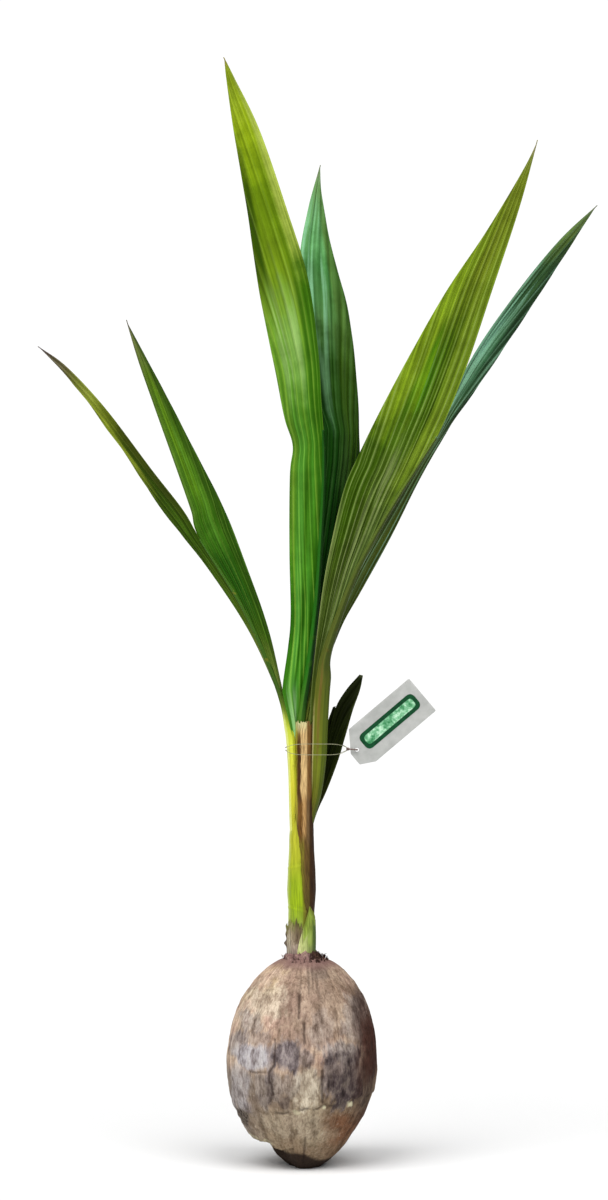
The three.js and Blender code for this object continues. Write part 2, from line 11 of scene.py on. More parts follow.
import bmesh
import bpy
import numpy as np
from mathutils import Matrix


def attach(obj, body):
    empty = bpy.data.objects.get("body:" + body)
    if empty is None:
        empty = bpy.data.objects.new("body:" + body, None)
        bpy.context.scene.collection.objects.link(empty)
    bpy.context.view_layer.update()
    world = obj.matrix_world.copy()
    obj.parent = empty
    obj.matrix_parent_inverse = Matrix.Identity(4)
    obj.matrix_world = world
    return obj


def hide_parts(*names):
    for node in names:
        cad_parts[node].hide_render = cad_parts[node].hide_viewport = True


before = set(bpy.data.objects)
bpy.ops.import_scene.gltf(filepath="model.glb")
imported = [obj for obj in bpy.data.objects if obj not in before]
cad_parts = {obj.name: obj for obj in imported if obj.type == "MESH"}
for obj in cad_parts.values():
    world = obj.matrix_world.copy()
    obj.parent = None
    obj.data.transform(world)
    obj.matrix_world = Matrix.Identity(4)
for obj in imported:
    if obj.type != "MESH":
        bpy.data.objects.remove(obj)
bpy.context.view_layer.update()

MM = 0.001
TURN = 2 * math.pi
WHITE = (255, 255, 255)

# Camera: level, at the middle of the plant's height
VIEW_DISTANCE = 3600
VIEW_HEIGHT = 566
VIEW_X = 2
VIEW_SPAN = 1200
SENSOR = 36

# Light: each sun has a name, a strength and its tilt in degrees
SUNS = (("left", 2.35, (44, 0, -38)), ("right", 1.75, (44, 0, 30)), ("top", 1.0, (14, 0, 0)))
SUN_ANGLE = 42
WORLD_STRENGTH = 0.1
SEEN_STRENGTH = 1.05
FLOOR_COLOUR = (230, 230, 230)
FLOOR_SIZE = 40

# Nut
NUT_WIDTH = 150
NUT_DEPTH = 142
NUT_HEIGHT = 212
NUT_WIDEST_Z = 106
NUT_FOOT_DROP = 6
NUT_POINTEDNESS = 0.3
NUT_RIDGE = 0.025
NUT_RIDGES = 3
NUT_RIDGE_ANGLE = 30
NUT_LEAN = 2.5
NUT_ROWS = 250
NUT_COLUMNS = 360
BREAK_DEPTH = 21
BREAK_ANGLE = 200
BREAK_SPREAD = 62
SOCKET_RIM_RADIUS = 15.2
SOCKET_RIM_Z = 209
SOCKET_DEPTH = 9
SOCKET_LIP = 1.8

# Stem: its profile and its rings hold [radius, height] and (height, tilt)
STEM_X = -1
FORK_Z = 336
STEM_FOOT_Z = 199
STEM_PROFILE = [
    [12.6, STEM_FOOT_Z], [12.9, 214], [12.9, 240], [12.6, 256], [13.8, 276], [13, 296], [11.9, 316],
    [11.7, 330], [11, 338], [9.4, 345], [6.5, 349],
]
STEM_RINGS = ((228, 2), (258, -3), (303, 3))
STEM_ROWS = 130
STEM_SIDES = 64
STALK_ROWS = 160
STALK_SIDES = 40

# Dead brown sheath: height, centre x and y, radius, and the angles of its side edges from the front
SHEATH_LEVELS = [
    (248, -1, 0, 13.3, 52, 104), (256, -1, 0, 13.4, 30, 104), (264, -1, 0, 14, 16, 104),
    (276, -1, 0, 14.8, 8, 104), (296, -1, 0, 14.4, 2, 104), (316, -1, 0, 13.2, -2, 102),
    (330, -1, 0, 12.8, -12, 98), (344, -0.6, 0, 12.2, -24, 90), (358, 0.2, 0, 11, -40, 84),
    (376, 1.5, 0.3, 9.2, -58, 84), (406, 2, 1, 8.6, -70, 84), (430, 1.6, 0.6, 9, -76, 88),
    (445, 1.5, 0, 9.2, -58, 88),
]
SHEATH_THICKNESS = 0.7
SHEATH_ROWS = 200
SHEATH_COLUMNS = 44

# Scales at the stem's foot
SCALE_RADIUS = 14.4
SCALE_FOOT_Z = 210
SCALE_THICKNESS = 0.6
SCALE_ROWS = 70
SCALE_COLUMNS = 90

# Leaves: points are [x, depth, height], and a lobe's last rib point is its tip
LEFT_LEAF = {
    "stalk": [
        [-7.3, -2, 336], [-9.6, -1, 396], [-12.8, 1.5, 440], [-25, 8, 481], [-57, 22, 554], [-102, 42, 627],
    ],
    "widths": [4.9, 4.4, 5.2, 2.8, 1.8, 1.2],
    "depths": [5.4, 5, 4.4, 2.7, 1.8, 1.2],
    "start": 0.54,
    "foot": {"point": [-3.6, -1.2, 300], "width": 4, "depth": 5},
}
CENTRE_LEAF = {
    "stalk": [
        [0.3, 5.8, 336], [0, 4.5, 396], [-1, 1, 444], [8, -3, 506], [15, -7, 566], [20, -11, 646],
        [22, -13.5, 700], [21, -15, 736],
    ],
    "widths": [4.3, 4.6, 4.2, 3.6, 3, 2.4, 1.9, 1.3],
    "depths": [4, 4.6, 4.2, 3.6, 3, 2.4, 1.9, 1.3],
    "start": 0.24,
    "foot": {"point": [0.3, 5.8, 320], "width": 4, "depth": 4},
}
RIGHT_LEAF = {
    "stalk": [
        [5.5, -2.4, 336], [10.5, -0.8, 356], [14.6, -1.6, 376], [16.9, -4, 406], [18.8, -5, 456],
        [21.5, -7, 488], [25.3, -9, 516], [50, -20, 584], [71, -27, 626], [98, -36, 672], [134, -47, 728],
    ],
    "widths": [4.3, 4.5, 5.3, 7.2, 7.8, 7.4, 5, 2.8, 2.4, 1.9, 1.3],
    "depths": [4.4, 4, 4, 4.4, 4.6, 4.4, 3.6, 2.6, 2.3, 1.9, 1.3],
    "start": 0.56,
    "foot": {"point": [3, -2, 316], "width": 3, "depth": 4},
}
LOBES = {
    "left_outer_lobe": {
        "leaf": LEFT_LEAF,
        "rib": [[-119, 48, 656], [-150, 58, 696], [-196, 72, 757], [-235, 85, 799], [-264, 92, 820]],
        "free": [
            [-23, 9, 474], [-52.5, 34, 536], [-92, 61, 596], [-139, 74, 656], [-180.5, 84, 717],
            [-225, 90, 778],
        ],
        "arch": 0.06,
        "pleats": 6,
    },
    "left_inner_lobe": {
        "leaf": LEFT_LEAF,
        "rib": [[-111, 46, 656], [-125, 51, 696], [-146.5, 60, 756], [-164, 68, 806], [-176, 76, 846]],
        "free": [
            [-19, 5, 474], [-33.5, 10, 536], [-54, 24, 596], [-77.5, 34, 656], [-107.5, 45, 716],
            [-138.5, 58, 776],
        ],
        "arch": -0.06,
        "pleats": 7,
    },
    "centre_left_lobe": {
        "leaf": CENTRE_LEAF,
        "rib": [
            [19, -20, 764], [16, -27, 815], [6, -38, 887], [-15, -48, 956], [-42.5, -56, 1036],
            [-68.5, -62, 1090], [-78, -64, 1109],
        ],
        "free": [
            [-8.5, -3, 424], [-13, -3.6, 444], [-18, -3, 466], [-19.4, -2.4, 480], [-14, 2, 518],
            [-11.4, 2, 550], [-12.5, 2, 610], [-12, -2, 690], [-9.2, -5, 720], [-17.4, -9, 748],
            [-27, -14, 796], [-43, -26, 876], [-55, -42, 956], [-68.6, -54, 1036], [-75.6, -61, 1086],
        ],
        "arch": 0.08,
        "pleats": 9,
        "fan": (0.42, 0.24),
    },
    "centre_right_lobe": {
        "leaf": CENTRE_LEAF,
        "rib": [[11, -7, 768], [2, 20, 840], [-2, 52, 905], [6, 85, 956], [18, 120, 1001]],
        "free": [
            [8, 2, 424], [12, 3, 448], [17, 8, 474], [25, 12, 526], [42, 14, 606], [56, 12, 690],
            [57.5, 12, 736], [54, 22, 796], [46, 45, 856], [30, 75, 916], [20, 100, 970],
        ],
        "arch": -0.08,
        "pleats": 8,
    },
    "right_near_lobe": {
        "leaf": RIGHT_LEAF,
        "rib": [[163, -62, 796], [190.5, -76, 877], [217, -92, 957], [236, -110, 1026]],
        "free": [
            [7.4, -6.5, 440], [9, -8, 470], [11.6, -9.5, 500], [20.5, -18, 576], [32, -26, 636],
            [43, -34, 680], [57, -40, 712], [78.5, -46, 756], [110.5, -58, 816], [145, -70, 876],
            [184.5, -84, 935], [220.5, -100, 995],
        ],
        "arch": -0.08,
        "pleats": 12,
        "start": 0.38,
    },
    "right_far_lobe": {
        "leaf": RIGHT_LEAF,
        "rib": [[147, -44, 761], [175, -40, 816], [217, -38, 876], [258, -40, 926], [295, -44, 961]],
        "free": [
            [30, -5, 516], [42.5, 2, 546], [60, 8, 576], [92.5, 8, 636], [122.5, 2, 696], [145.5, -4, 736],
            [174, -10, 776], [214, -18, 836], [253, -28, 896],
        ],
        "arch": 0.06,
        "pleats": 8,
    },
}
SMALL_LEAVES = {
    "small_leaf": {
        "rib": [
            [6.2, 4.8, 336], [10, 5.4, 356], [14, 6, 376], [20.5, 6.6, 406], [26, 7, 430], [33.5, 8, 458],
            [44, 9, 476], [57.5, 10, 491.5],
        ],
        "free": [
            [9.4, 4.6, 336], [16, 5.4, 356], [25, 6, 376], [36, 6.6, 405], [43.5, 7, 430], [51, 8.4, 456],
            [58, 9.4, 476], [61, 10, 490.5],
        ],
        "pleats": 5,
    },
    "small_leaf_half": {
        "rib": [[18, 9, 372], [27, 10, 402], [32, 10.6, 430], [33.6, 11, 460]],
        "free": [[10.6, 8.8, 372], [15, 11, 402], [21, 12, 430], [30.8, 11.4, 459]],
        "pleats": 3,
    },
}
SMALL_LEAF_NOTCH = 0.25
SMALL_LEAF_ARCH = 0.05
LEAF_THICKNESS = 1.1
LEAF_TIP_WIDTH = 1
PLEAT_RATIO = 0.2
PLEAT_MOST = 1.1
LEAF_COLUMNS = 72
SMALL_LEAF_COLUMNS = 32
STATIONS_ON_STALK = 60
STATIONS_PAST_NOTCH = 110
STATIONS_ON_SMALL_LEAF = 90
# Share of a blade's length up to which its free edge cuts into the pleats, and the share of them that it cuts
FAN = (0.4, 0)

# Tag
TAG_LENGTH = 93
TAG_WIDTH = 42
TAG_CUT_LENGTH = 14.5
TAG_END_FROM = -13
TAG_END_TO = 1
TAG_HOLE_INSET = 7.5
TAG_HOLE_RADIUS = 1.9
TAG_TILT = 40.2
TAG_END = [120.5, 471.5]
TAG_THICKNESS = 0.8
TAG_DEPTH = -6
TAG_CORNER = 1.4
TAG_BEVEL = 0.25
TAG_POINT_STEP = 3
BAR_MIDDLE = (-42.2, 0.6)
BAR_BEVEL = 0.02

# Thread
THREAD_LOOP = {"x": 14.3, "y": 1.2, "z": 417, "half_width": 31, "half_depth": 12.4, "squareness": 3.4}
THREAD_SIDE_LIFT = 1.1
THREAD_LIFT = 4.3
THREAD_END = [
    [45.9, -5.4, 417], [47, -7.9, 416.9], [49.8, -9.2, 416.6], [54.4, -8.8, 416.2], [55.6, -5, 416.3],
]
THREAD_RADIUS = 0.26
THREAD_SIDES = 8
THREAD_RINGS = 160
PLY_RADIUS = 0.42
PLY_OFFSET = 0.45
PLY_TURNS = 5
KNOT_RADIUS = 0.45


# Numbers and curves

def mix(a, b, share):
    return a + (b - a) * share


def ease(value, low, high):
    """Smooth step from 0 at low to 1 at high."""
    share = np.clip((value - low) / (high - low), 0, 1)
    return share * share * (3 - 2 * share)


def hill(value, middle, width):
    """Smooth hill of height 1 round the middle."""
    return np.exp(-(((value - middle) / width) ** 2))


def turn_angles(count):
    """Angles of evenly spaced points round a circle."""
    return np.arange(count) / count * TURN


def grid(*values):
    """Points from their coordinates, each given for all points, for rows, for columns or as one number."""
    return np.stack(np.broadcast_arrays(*values), axis=-1)


def unit(vectors):
    return vectors / np.maximum(np.linalg.norm(vectors, axis=-1, keepdims=True), 1e-9)


def place(points):
    """Front-view points with a depth, as true points."""
    x, depth, z = np.array(points, float).T
    spread = 1 + depth / VIEW_DISTANCE
    return grid(VIEW_X + (x - VIEW_X) * spread, depth, VIEW_HEIGHT + (z - VIEW_HEIGHT) * spread)


def on_curve(points, t):
    """Smooth curve through points, with equal steps of t between the points."""
    p = np.array(points, float)
    p = np.vstack([2 * p[0] - p[1], p, 2 * p[-1] - p[-2]])
    last = len(points) - 1
    position = np.clip(t, 0, 1) * last
    i = np.minimum(position.astype(int), last - 1)
    f = (position - i)[:, None]
    a, b, c, d = p[i], p[i + 1], p[i + 2], p[i + 3]
    return 0.5 * (2 * b + (c - a) * f + (2 * a - 5 * b + 4 * c - d) * f**2 + (3 * b - a - 3 * c + d) * f**3)


def length_up_to(path):
    """Length of a path up to each of its points."""
    steps = np.linalg.norm(np.diff(path, axis=0), axis=1)
    return np.concatenate([[0], np.cumsum(steps)])


def by_length(points, shares):
    """Points on the smooth curve at shares of its length."""
    t = np.linspace(0, 1, 801)
    reach = length_up_to(on_curve(points, t))
    return on_curve(points, np.interp(shares * reach[-1], reach, t))


def noise(x, y, z, seed):
    """Smooth noise from -1 to 1 at places, with features about one unit wide."""
    size = 32
    table = np.random.default_rng(seed).uniform(-1, 1, (size, size, size))
    points = grid(x, y, z)
    base = np.floor(points).astype(int)
    f = points - base
    f = f * f * (3 - 2 * f)
    total = np.zeros(points.shape[:-1])
    for corner in itertools.product((0, 1), repeat=3):
        weight = np.prod(np.where(corner, f, 1 - f), axis=-1)
        i, j, k = np.moveaxis((base + corner) % size, -1, 0)
        total += weight * table[i, j, k]
    return total


def rough_noise(x, y, z, seed, octaves=4):
    """Noise with finer and weaker noise laid over it."""
    total = 0
    for octave in range(octaves):
        finer = 2**octave
        total = total + noise(x * finer, y * finer, z * finer, seed + octave) / finer
    return total / 1.6


# Meshes

def ring_faces(count, sides, looped=False):
    """Quads between rings of points, one after the other. When looped, the last ring meets the first."""
    first = np.arange(count if looped else count - 1)[:, None] * sides
    second = (first + sides) % (count * sides)
    i = np.arange(sides)
    k = (i + 1) % sides
    return grid(first + i, first + k, second + k, second + i).reshape(-1, 4).tolist()


def make_piece(name, node, material, vertices, faces, attributes=None, smooth=True):
    """Mesh that stands for a node of the model, with a value for each vertex in its attributes."""
    mesh = bpy.data.meshes.new(name)
    mesh.from_pydata((vertices * MM).tolist(), [], faces)
    for key, values in (attributes or {}).items():
        mesh.attributes.new(key, "FLOAT", "POINT").data.foreach_set("value", values.astype(np.float32))
    work = bmesh.new()
    work.from_mesh(mesh)
    bmesh.ops.recalc_face_normals(work, faces=work.faces)
    work.to_mesh(mesh)
    work.free()
    mesh.polygons.foreach_set("use_smooth", [smooth] * len(mesh.polygons))
    mesh.materials.append(material)
    piece = bpy.data.objects.new(name, mesh)
    bpy.context.scene.collection.objects.link(piece)
    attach(piece, "root")
    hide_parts(node)


def level_rings(angle, radius, height):
    """Points at an angle, a radius and a height round the stem."""
    return grid(STEM_X + radius * np.cos(angle), radius * np.sin(angle), height)


def outward(angle):
    """Level direction at an angle from the front, counted towards the right."""
    return grid(np.sin(angle), -np.cos(angle), 0)


def tube(path, widths, depths, sides, pole=(0, 1, 0), looped=False):
    """Rings of a tube along a path, with its widths square to the pole and its depths square to them."""
    if looped:
        ahead = unit(np.roll(path, -1, axis=0) - np.roll(path, 1, axis=0))
    else:
        ahead = unit(np.gradient(path, axis=0))
    across = unit(np.cross(pole, ahead))
    away = np.cross(ahead, across)
    angle = turn_angles(sides)
    return (
        path[:, None]
        + across[:, None] * (widths * np.cos(angle))[..., None]
        + away[:, None] * (depths * np.sin(angle))[..., None]
    )


def capped(rings):
    """Vertices and faces of a closed tube through rings, with a point at each end."""
    count, sides = rings.shape[:2]
    vertices = np.vstack([rings.reshape(-1, 3), rings[0].mean(0), rings[-1].mean(0)])
    faces = ring_faces(count, sides)
    start = count * sides
    top = start - sides
    for i in range(sides):
        k = (i + 1) % sides
        faces.append([start, k, i])
        faces.append([start + 1, top + i, top + k])
    return vertices, faces


def tube_shares(along, sides):
    """Share along a capped tube, and the share from its left edge to its right one, in front as behind."""
    shape = (len(along), sides)
    across = 0.5 + 0.5 * np.cos(turn_angles(sides))
    return {
        "along": np.append(np.broadcast_to(along[:, None], shape), [along[0], 1]),
        "across": np.append(np.broadcast_to(across, shape), [0.5, 0.5]),
    }


def two_sided(upper, lower):
    """Vertices and faces of a thin solid between two grids of points."""
    rows, columns = upper.shape[:2]
    rings = np.concatenate([upper[:, ::-1], lower], axis=1)
    faces = ring_faces(rows, 2 * columns)
    for row in (0, rows - 1):
        base = row * 2 * columns
        for i in range(columns - 1):
            far = 2 * columns - 1 - i
            faces.append([base + i, base + i + 1, base + far - 1, base + far])
    return rings.reshape(-1, 3), faces


def sheet_shares(**fields):
    """Values of a sheet's rows, columns or points, in the order of two_sided's points."""
    grids = np.broadcast_arrays(*fields.values())
    return {key: np.hstack([values[:, ::-1], values]).ravel() for key, values in zip(fields, grids)}


def joined(solids):
    """Vertices and faces of several solids, as those of one."""
    faces = []
    base = 0
    for points, polygons in solids:
        faces += [[base + i for i in polygon] for polygon in polygons]
        base += len(points)
    return np.vstack([points for points, _ in solids]), faces


# Materials

def linear(rgb):
    """Screen colour, as the shader's colour."""
    c = np.array(rgb, float) / 255
    return [*np.where(c <= 0.04045, c / 12.92, ((c + 0.055) / 1.055) ** 2.4), 1.0]


class Look:
    """Material with a Principled shader, and short ways to add its nodes."""

    def __init__(self, name, roughness=0.6, **settings):
        self.material = bpy.data.materials.new(name)
        self.material.use_nodes = True
        self.tree = self.material.node_tree
        self.shader = self.tree.nodes["Principled BSDF"]
        self.shader.inputs["Roughness"].default_value = roughness
        for key, value in settings.items():
            self.shader.inputs[key.replace("_", " ")].default_value = value

    def add(self, kind, *inputs, out=0, **settings):
        """Node of a kind, with its inputs in order, None for one that stays. Returns one of its outputs."""
        made = self.tree.nodes.new(kind)
        for key, value in settings.items():
            setattr(made, key, value)
        for socket, value in zip(made.inputs, inputs):
            self.put(socket, value)
        return made.outputs[out]

    def put(self, socket, value):
        if value is None:
            return
        if isinstance(value, bpy.types.NodeSocket):
            self.tree.links.new(value, socket)
        else:
            socket.default_value = value

    def calc(self, operation, a, b=None, c=None):
        return self.add("ShaderNodeMath", a, b, c, operation=operation)

    def times(self, value, *factors):
        for factor in factors:
            value = self.calc("MULTIPLY", value, factor)
        return value

    def moved(self, value, pattern, share):
        """Value moved up and down by a share of a pattern, whose middle is 0.5."""
        return self.calc("MULTIPLY_ADD", self.calc("SUBTRACT", pattern, 0.5), share, value)

    def step(self, value, low, high, bottom=0.0, top=1.0):
        """Smooth step of a value between two levels."""
        return self.add(
            "ShaderNodeMapRange", value, low, high, bottom, top, interpolation_type="SMOOTHSTEP"
        )

    def band(self, value, low, high, soft):
        """1 between two levels of a value and 0 outside them, with soft ends."""
        above = self.step(value, low - soft, low + soft)
        return self.times(above, self.step(value, high + soft, high - soft))

    def blend(self, a, b, share, how="MIX"):
        """Colour a with colour b laid over it. Colour b may be a screen colour."""
        made = self.tree.nodes.new("ShaderNodeMix")
        made.data_type = "RGBA"
        made.blend_type = how
        made.clamp_factor = True
        self.put(made.inputs[0], share)
        self.put(made.inputs[6], a)
        self.put(made.inputs[7], linear(b) if isinstance(b, tuple) else b)
        return made.outputs[2]

    def ramp(self, value, *stops):
        """Colour at a value, from stops of (place, screen colour)."""
        made = self.tree.nodes.new("ShaderNodeValToRGB")
        elements = made.color_ramp.elements
        while len(elements) < len(stops):
            elements.new(0.5)
        for element, (spot, colour) in zip(elements, stops):
            element.position = spot
            element.color = linear(colour)
        self.put(made.inputs[0], value)
        return made.outputs[0]

    def shaded(self, colour, pattern, low, high, shade, share):
        """Colour under a shade that is full where a pattern is low and gone where it is high."""
        return self.blend(colour, self.ramp(pattern, (low, shade), (high, WHITE)), share, "MULTIPLY")

    def spray(self, colour, along, across, layers, soft=0.05):
        """Colour with soft colours sprayed over it, each at its place across and along the piece."""
        for tint, (left, right), (low, high), strength in layers:
            reach = self.times(self.band(across, left, right, soft), self.band(along, low, high, soft))
            colour = self.blend(colour, tint, self.times(reach, strength))
        return colour

    def attribute(self, name):
        return self.add("ShaderNodeAttribute", attribute_name=name, out=2)

    def vector(self, x, y, z):
        return self.add("ShaderNodeCombineXYZ", x, y, z)

    def here(self):
        """Object coordinates."""
        return self.add("ShaderNodeTexCoord", out=3)

    def axes(self):
        """Object coordinates, one by one."""
        made = self.tree.nodes.new("ShaderNodeSeparateXYZ")
        self.put(made.inputs[0], self.here())
        return made.outputs

    def noise(self, vector, scale, detail, roughness=0.5):
        made = self.tree.nodes.new("ShaderNodeTexNoise")
        self.put(made.inputs["Vector"], vector)
        made.inputs["Scale"].default_value = scale
        made.inputs["Detail"].default_value = detail
        made.inputs["Roughness"].default_value = roughness
        return made.outputs[0]

    def mottle(self, scale, detail, roughness=0.5):
        """Noise through the whole piece."""
        return self.noise(self.here(), scale, detail, roughness)

    def streaks(self, x, z, tilt, detail=4.0):
        """Noise with features x metres wide and z metres high, tilted in the front view."""
        turned = self.add("ShaderNodeVectorRotate", self.here(), None, None, tilt, rotation_type="Y_AXIS")
        stretched = self.add("ShaderNodeVectorMath", turned, (1 / x, 1 / x, 1 / z), operation="MULTIPLY")
        return self.noise(stretched, 1.0, detail, 0.6)

    def lines(self, across, along, density, scale, detail):
        """Noise in lines along the piece, from their density across and along it and a level of the noise."""
        spot = self.vector(self.times(across, density[0]), self.times(along, density[1]), density[2])
        return self.noise(spot, scale, detail)

    def bump(self, height, depth):
        """Height from 0 to 1 as fine relief, depth metres deep."""
        made = self.tree.nodes.new("ShaderNodeBump")
        made.inputs["Distance"].default_value = depth
        self.put(made.inputs["Height"], height)
        before = self.shader.inputs["Normal"].links
        if before:
            self.tree.links.new(before[0].from_socket, made.inputs["Normal"])
        self.tree.links.new(made.outputs[0], self.shader.inputs["Normal"])

    def finish(self, colour, roughness=None):
        self.put(self.shader.inputs["Base Color"], colour)
        self.put(self.shader.inputs["Roughness"], roughness)
        return self.material


# Colours run along each piece. A spray is (colour, its span across, its span along, strength), and each of
# the streaks is (colour, strength, its span along, its span across). Some sprays and streaks are painted
# light and painted shade, as noted at each piece.
LEAF_LOOKS = {
    # Painted sheen: the pale middle spray and the pale streaks. Painted shade: darker green on the rib side
    "centre_left_lobe": {
        "along": [
            (0.0, (84, 140, 50)), (0.08, (54, 116, 20)), (0.2, (42, 104, 10)), (0.28, (76, 138, 26)),
            (0.42, (74, 132, 28)), (0.52, (98, 154, 40)), (0.6, (120, 166, 52)), (0.68, (116, 146, 24)),
            (0.8, (112, 142, 14)), (0.9, (150, 174, 24)), (1.0, (160, 176, 54)),
        ],
        "sprays": [
            ((98, 170, 64), (0.52, 0.76), (-0.2, 0.46), 0.75), ((108, 156, 48), (0.8, 1.3), (0.3, 0.52), 0.7),
            ((78, 150, 46), (0.2, 0.36), (0.04, 0.48), 0.6), ((24, 80, 8), (0.4, 0.48), (0.04, 0.4), 0.6),
            ((34, 92, 12), (-0.2, 0.14), (-0.2, 0.46), 0.75),
            ((54, 112, 10), (-0.2, 0.28), (0.42, 0.72), 0.85),
            ((152, 194, 110), (0.36, 0.66), (0.53, 0.62), 0.55),
            ((184, 200, 90), (-0.2, 0.22), (0.73, 0.97), 0.85),
            ((50, 74, 2), (0.8, 1.3), (0.66, 0.86), 0.9), ((40, 76, 4), (-0.2, 0.04), (0.56, 0.72), 0.8),
        ],
        "streaks": [
            ((176, 208, 134), 0.35, (0.5, 0.66), (0.3, 0.8)),
            ((176, 220, 160), 0.5, (-0.2, 0.06), (0.3, 0.9)),
        ],
        "valley": (40, 84, 2), "ridge": (150, 186, 70), "dark": 0.46, "light": 0.34,
        "grain": (190, 200, 150), "tip": (140, 130, 60), "dry": 0.975, "smooth": 0.42,
    },
    # Dark greens are painted shade, as it faces from the light; teal tints and pale streaks painted
    # reflections
    "centre_right_lobe": {
        "along": [
            (0.0, (134, 142, 62)), (0.05, (116, 126, 46)), (0.11, (62, 92, 20)), (0.3, (24, 66, 8)),
            (0.52, (32, 68, 8)), (0.62, (46, 86, 24)), (0.68, (80, 124, 66)), (0.78, (72, 132, 68)),
            (0.86, (104, 166, 102)), (0.94, (110, 152, 92)), (1.0, (120, 146, 104)),
        ],
        "sprays": [
            ((12, 56, 4), (-0.2, 0.36), (0.14, 0.62), 0.8), ((56, 86, 16), (0.58, 1.3), (0.4, 0.72), 0.8),
            ((80, 114, 44), (0.7, 1.3), (0.66, 0.92), 0.8), ((30, 62, 10), (0.93, 1.3), (0.3, 0.8), 0.5),
        ],
        "streaks": [
            ((140, 196, 156), 0.6, (0.66, 0.9), (-0.2, 0.55)),
            ((110, 158, 112), 0.6, (0.52, 0.7), (0.2, 0.42)), ((74, 106, 52), 0.4, (0.2, 0.5), (0.3, 0.6)),
        ],
        "valley": (8, 46, 10), "ridge": (92, 140, 76), "dark": 0.55, "light": 0.2,
        "grain": (170, 190, 160), "tip": (110, 120, 90), "dry": 0.975, "smooth": 0.4,
    },
    # The pale tan streak is a painted highlight
    "right_near_lobe": {
        "along": [
            (0.0, (82, 96, 28)), (0.1, (62, 80, 20)), (0.3, (64, 86, 18)), (0.42, (76, 104, 20)),
            (0.55, (80, 116, 14)), (0.68, (90, 120, 20)), (0.8, (118, 136, 32)), (0.94, (128, 144, 40)),
            (1.0, (150, 155, 90)),
        ],
        "sprays": [
            ((74, 148, 10), (0.46, 0.7), (0.54, 0.64), 0.7),
            ((124, 150, 38), (-0.2, 0.26), (0.4, 0.84), 0.85),
            ((138, 168, 36), (0.7, 1.3), (0.5, 0.86), 0.85), ((66, 102, 4), (0.62, 1.3), (0.28, 0.47), 0.85),
            ((160, 178, 108), (0.94, 1.3), (-0.2, 0.34), 0.85),
            ((156, 180, 50), (0.24, 0.33), (0.62, 0.86), 0.5),
            ((98, 120, 60), (-0.2, 0.24), (0.14, 0.34), 0.6), ((44, 62, 10), (0.4, 0.68), (0.06, 0.34), 0.5),
        ],
        "streaks": [
            ((166, 182, 118), 0.4, (0.12, 0.44), (0.16, 0.6)),
            ((140, 170, 30), 0.4, (0.5, 0.8), (0.5, 1.3)),
        ],
        "valley": (38, 56, 4), "ridge": (150, 170, 100), "dark": 0.55, "light": 0.4,
        "grain": (170, 175, 130), "tip": (160, 150, 110), "dry": 0.97, "smooth": 0.42,
    },
    # The teal spray and the teal streak are painted reflections, and the pale ridges painted highlights
    "right_far_lobe": {
        "along": [
            (0.0, (78, 90, 26)), (0.4, (74, 90, 26)), (0.48, (76, 100, 48)), (0.56, (66, 112, 72)),
            (0.66, (80, 136, 94)), (0.76, (54, 92, 52)), (0.86, (64, 96, 52)), (0.93, (106, 130, 62)),
            (1.0, (116, 134, 90)),
        ],
        "sprays": [
            ((144, 200, 172), (-0.2, 0.34), (0.56, 0.74), 0.85),
            ((44, 68, 42), (0.7, 1.3), (0.45, 0.95), 0.8), ((50, 62, 12), (0.75, 1.3), (0.0, 0.4), 0.5),
        ],
        "streaks": [((156, 212, 178), 0.75, (0.46, 0.84), (-0.1, 0.55))],
        "valley": (8, 34, 16), "ridge": (150, 200, 166), "dark": 0.82, "light": 0.7,
        "grain": (160, 185, 160), "tip": (120, 125, 100), "dry": 0.97, "smooth": 0.4,
    },
    # The dark green along the free edge, the lobe's shaded side, is painted shade
    "left_inner_lobe": {
        "along": [
            (0.0, (144, 158, 84)), (0.07, (112, 132, 54)), (0.15, (62, 94, 14)), (0.22, (50, 86, 10)),
            (0.36, (50, 100, 14)), (0.46, (64, 114, 18)), (0.7, (80, 118, 26)), (0.84, (88, 112, 36)),
            (0.95, (108, 114, 66)), (1.0, (110, 110, 80)),
        ],
        "sprays": [
            ((36, 62, 6), (0.72, 1.3), (0.0, 1.2), 0.75), ((22, 70, 8), (0.1, 0.6), (0.2, 0.4), 0.75),
            ((108, 140, 60), (-0.2, 0.12), (0.45, 0.85), 0.5), ((104, 146, 20), (0.3, 0.6), (0.5, 0.86), 0.5),
        ],
        "streaks": [((96, 150, 50), 0.4, (0.4, 0.8), (0.2, 0.6))],
        "valley": (34, 76, 4), "ridge": (112, 156, 56), "dark": 0.6, "light": 0.42,
        "grain": (180, 190, 150), "tip": (90, 86, 70), "dry": 0.95, "smooth": 0.44,
    },
    "left_outer_lobe": {
        "along": [
            (0.0, (150, 164, 90)), (0.1, (122, 140, 62)), (0.2, (74, 100, 24)), (0.42, (54, 84, 10)),
            (0.6, (60, 82, 12)), (0.68, (76, 94, 18)), (0.76, (118, 132, 34)), (0.84, (142, 154, 58)),
            (0.91, (112, 106, 66)), (1.0, (110, 100, 90)),
        ],
        "sprays": [
            ((160, 176, 56), (0.55, 1.3), (0.6, 0.84), 0.7), ((56, 58, 14), (-0.2, 0.3), (0.48, 0.74), 0.6),
            ((94, 124, 44), (0.85, 1.3), (0.1, 0.6), 0.5),
        ],
        "streaks": [((88, 130, 30), 0.5, (0.1, 0.5), (0.2, 0.8))],
        "valley": (36, 60, 2), "ridge": (112, 140, 40), "dark": 0.4, "light": 0.3,
        "grain": (180, 185, 140), "tip": (84, 70, 70), "dry": 0.92, "smooth": 0.44,
    },
}
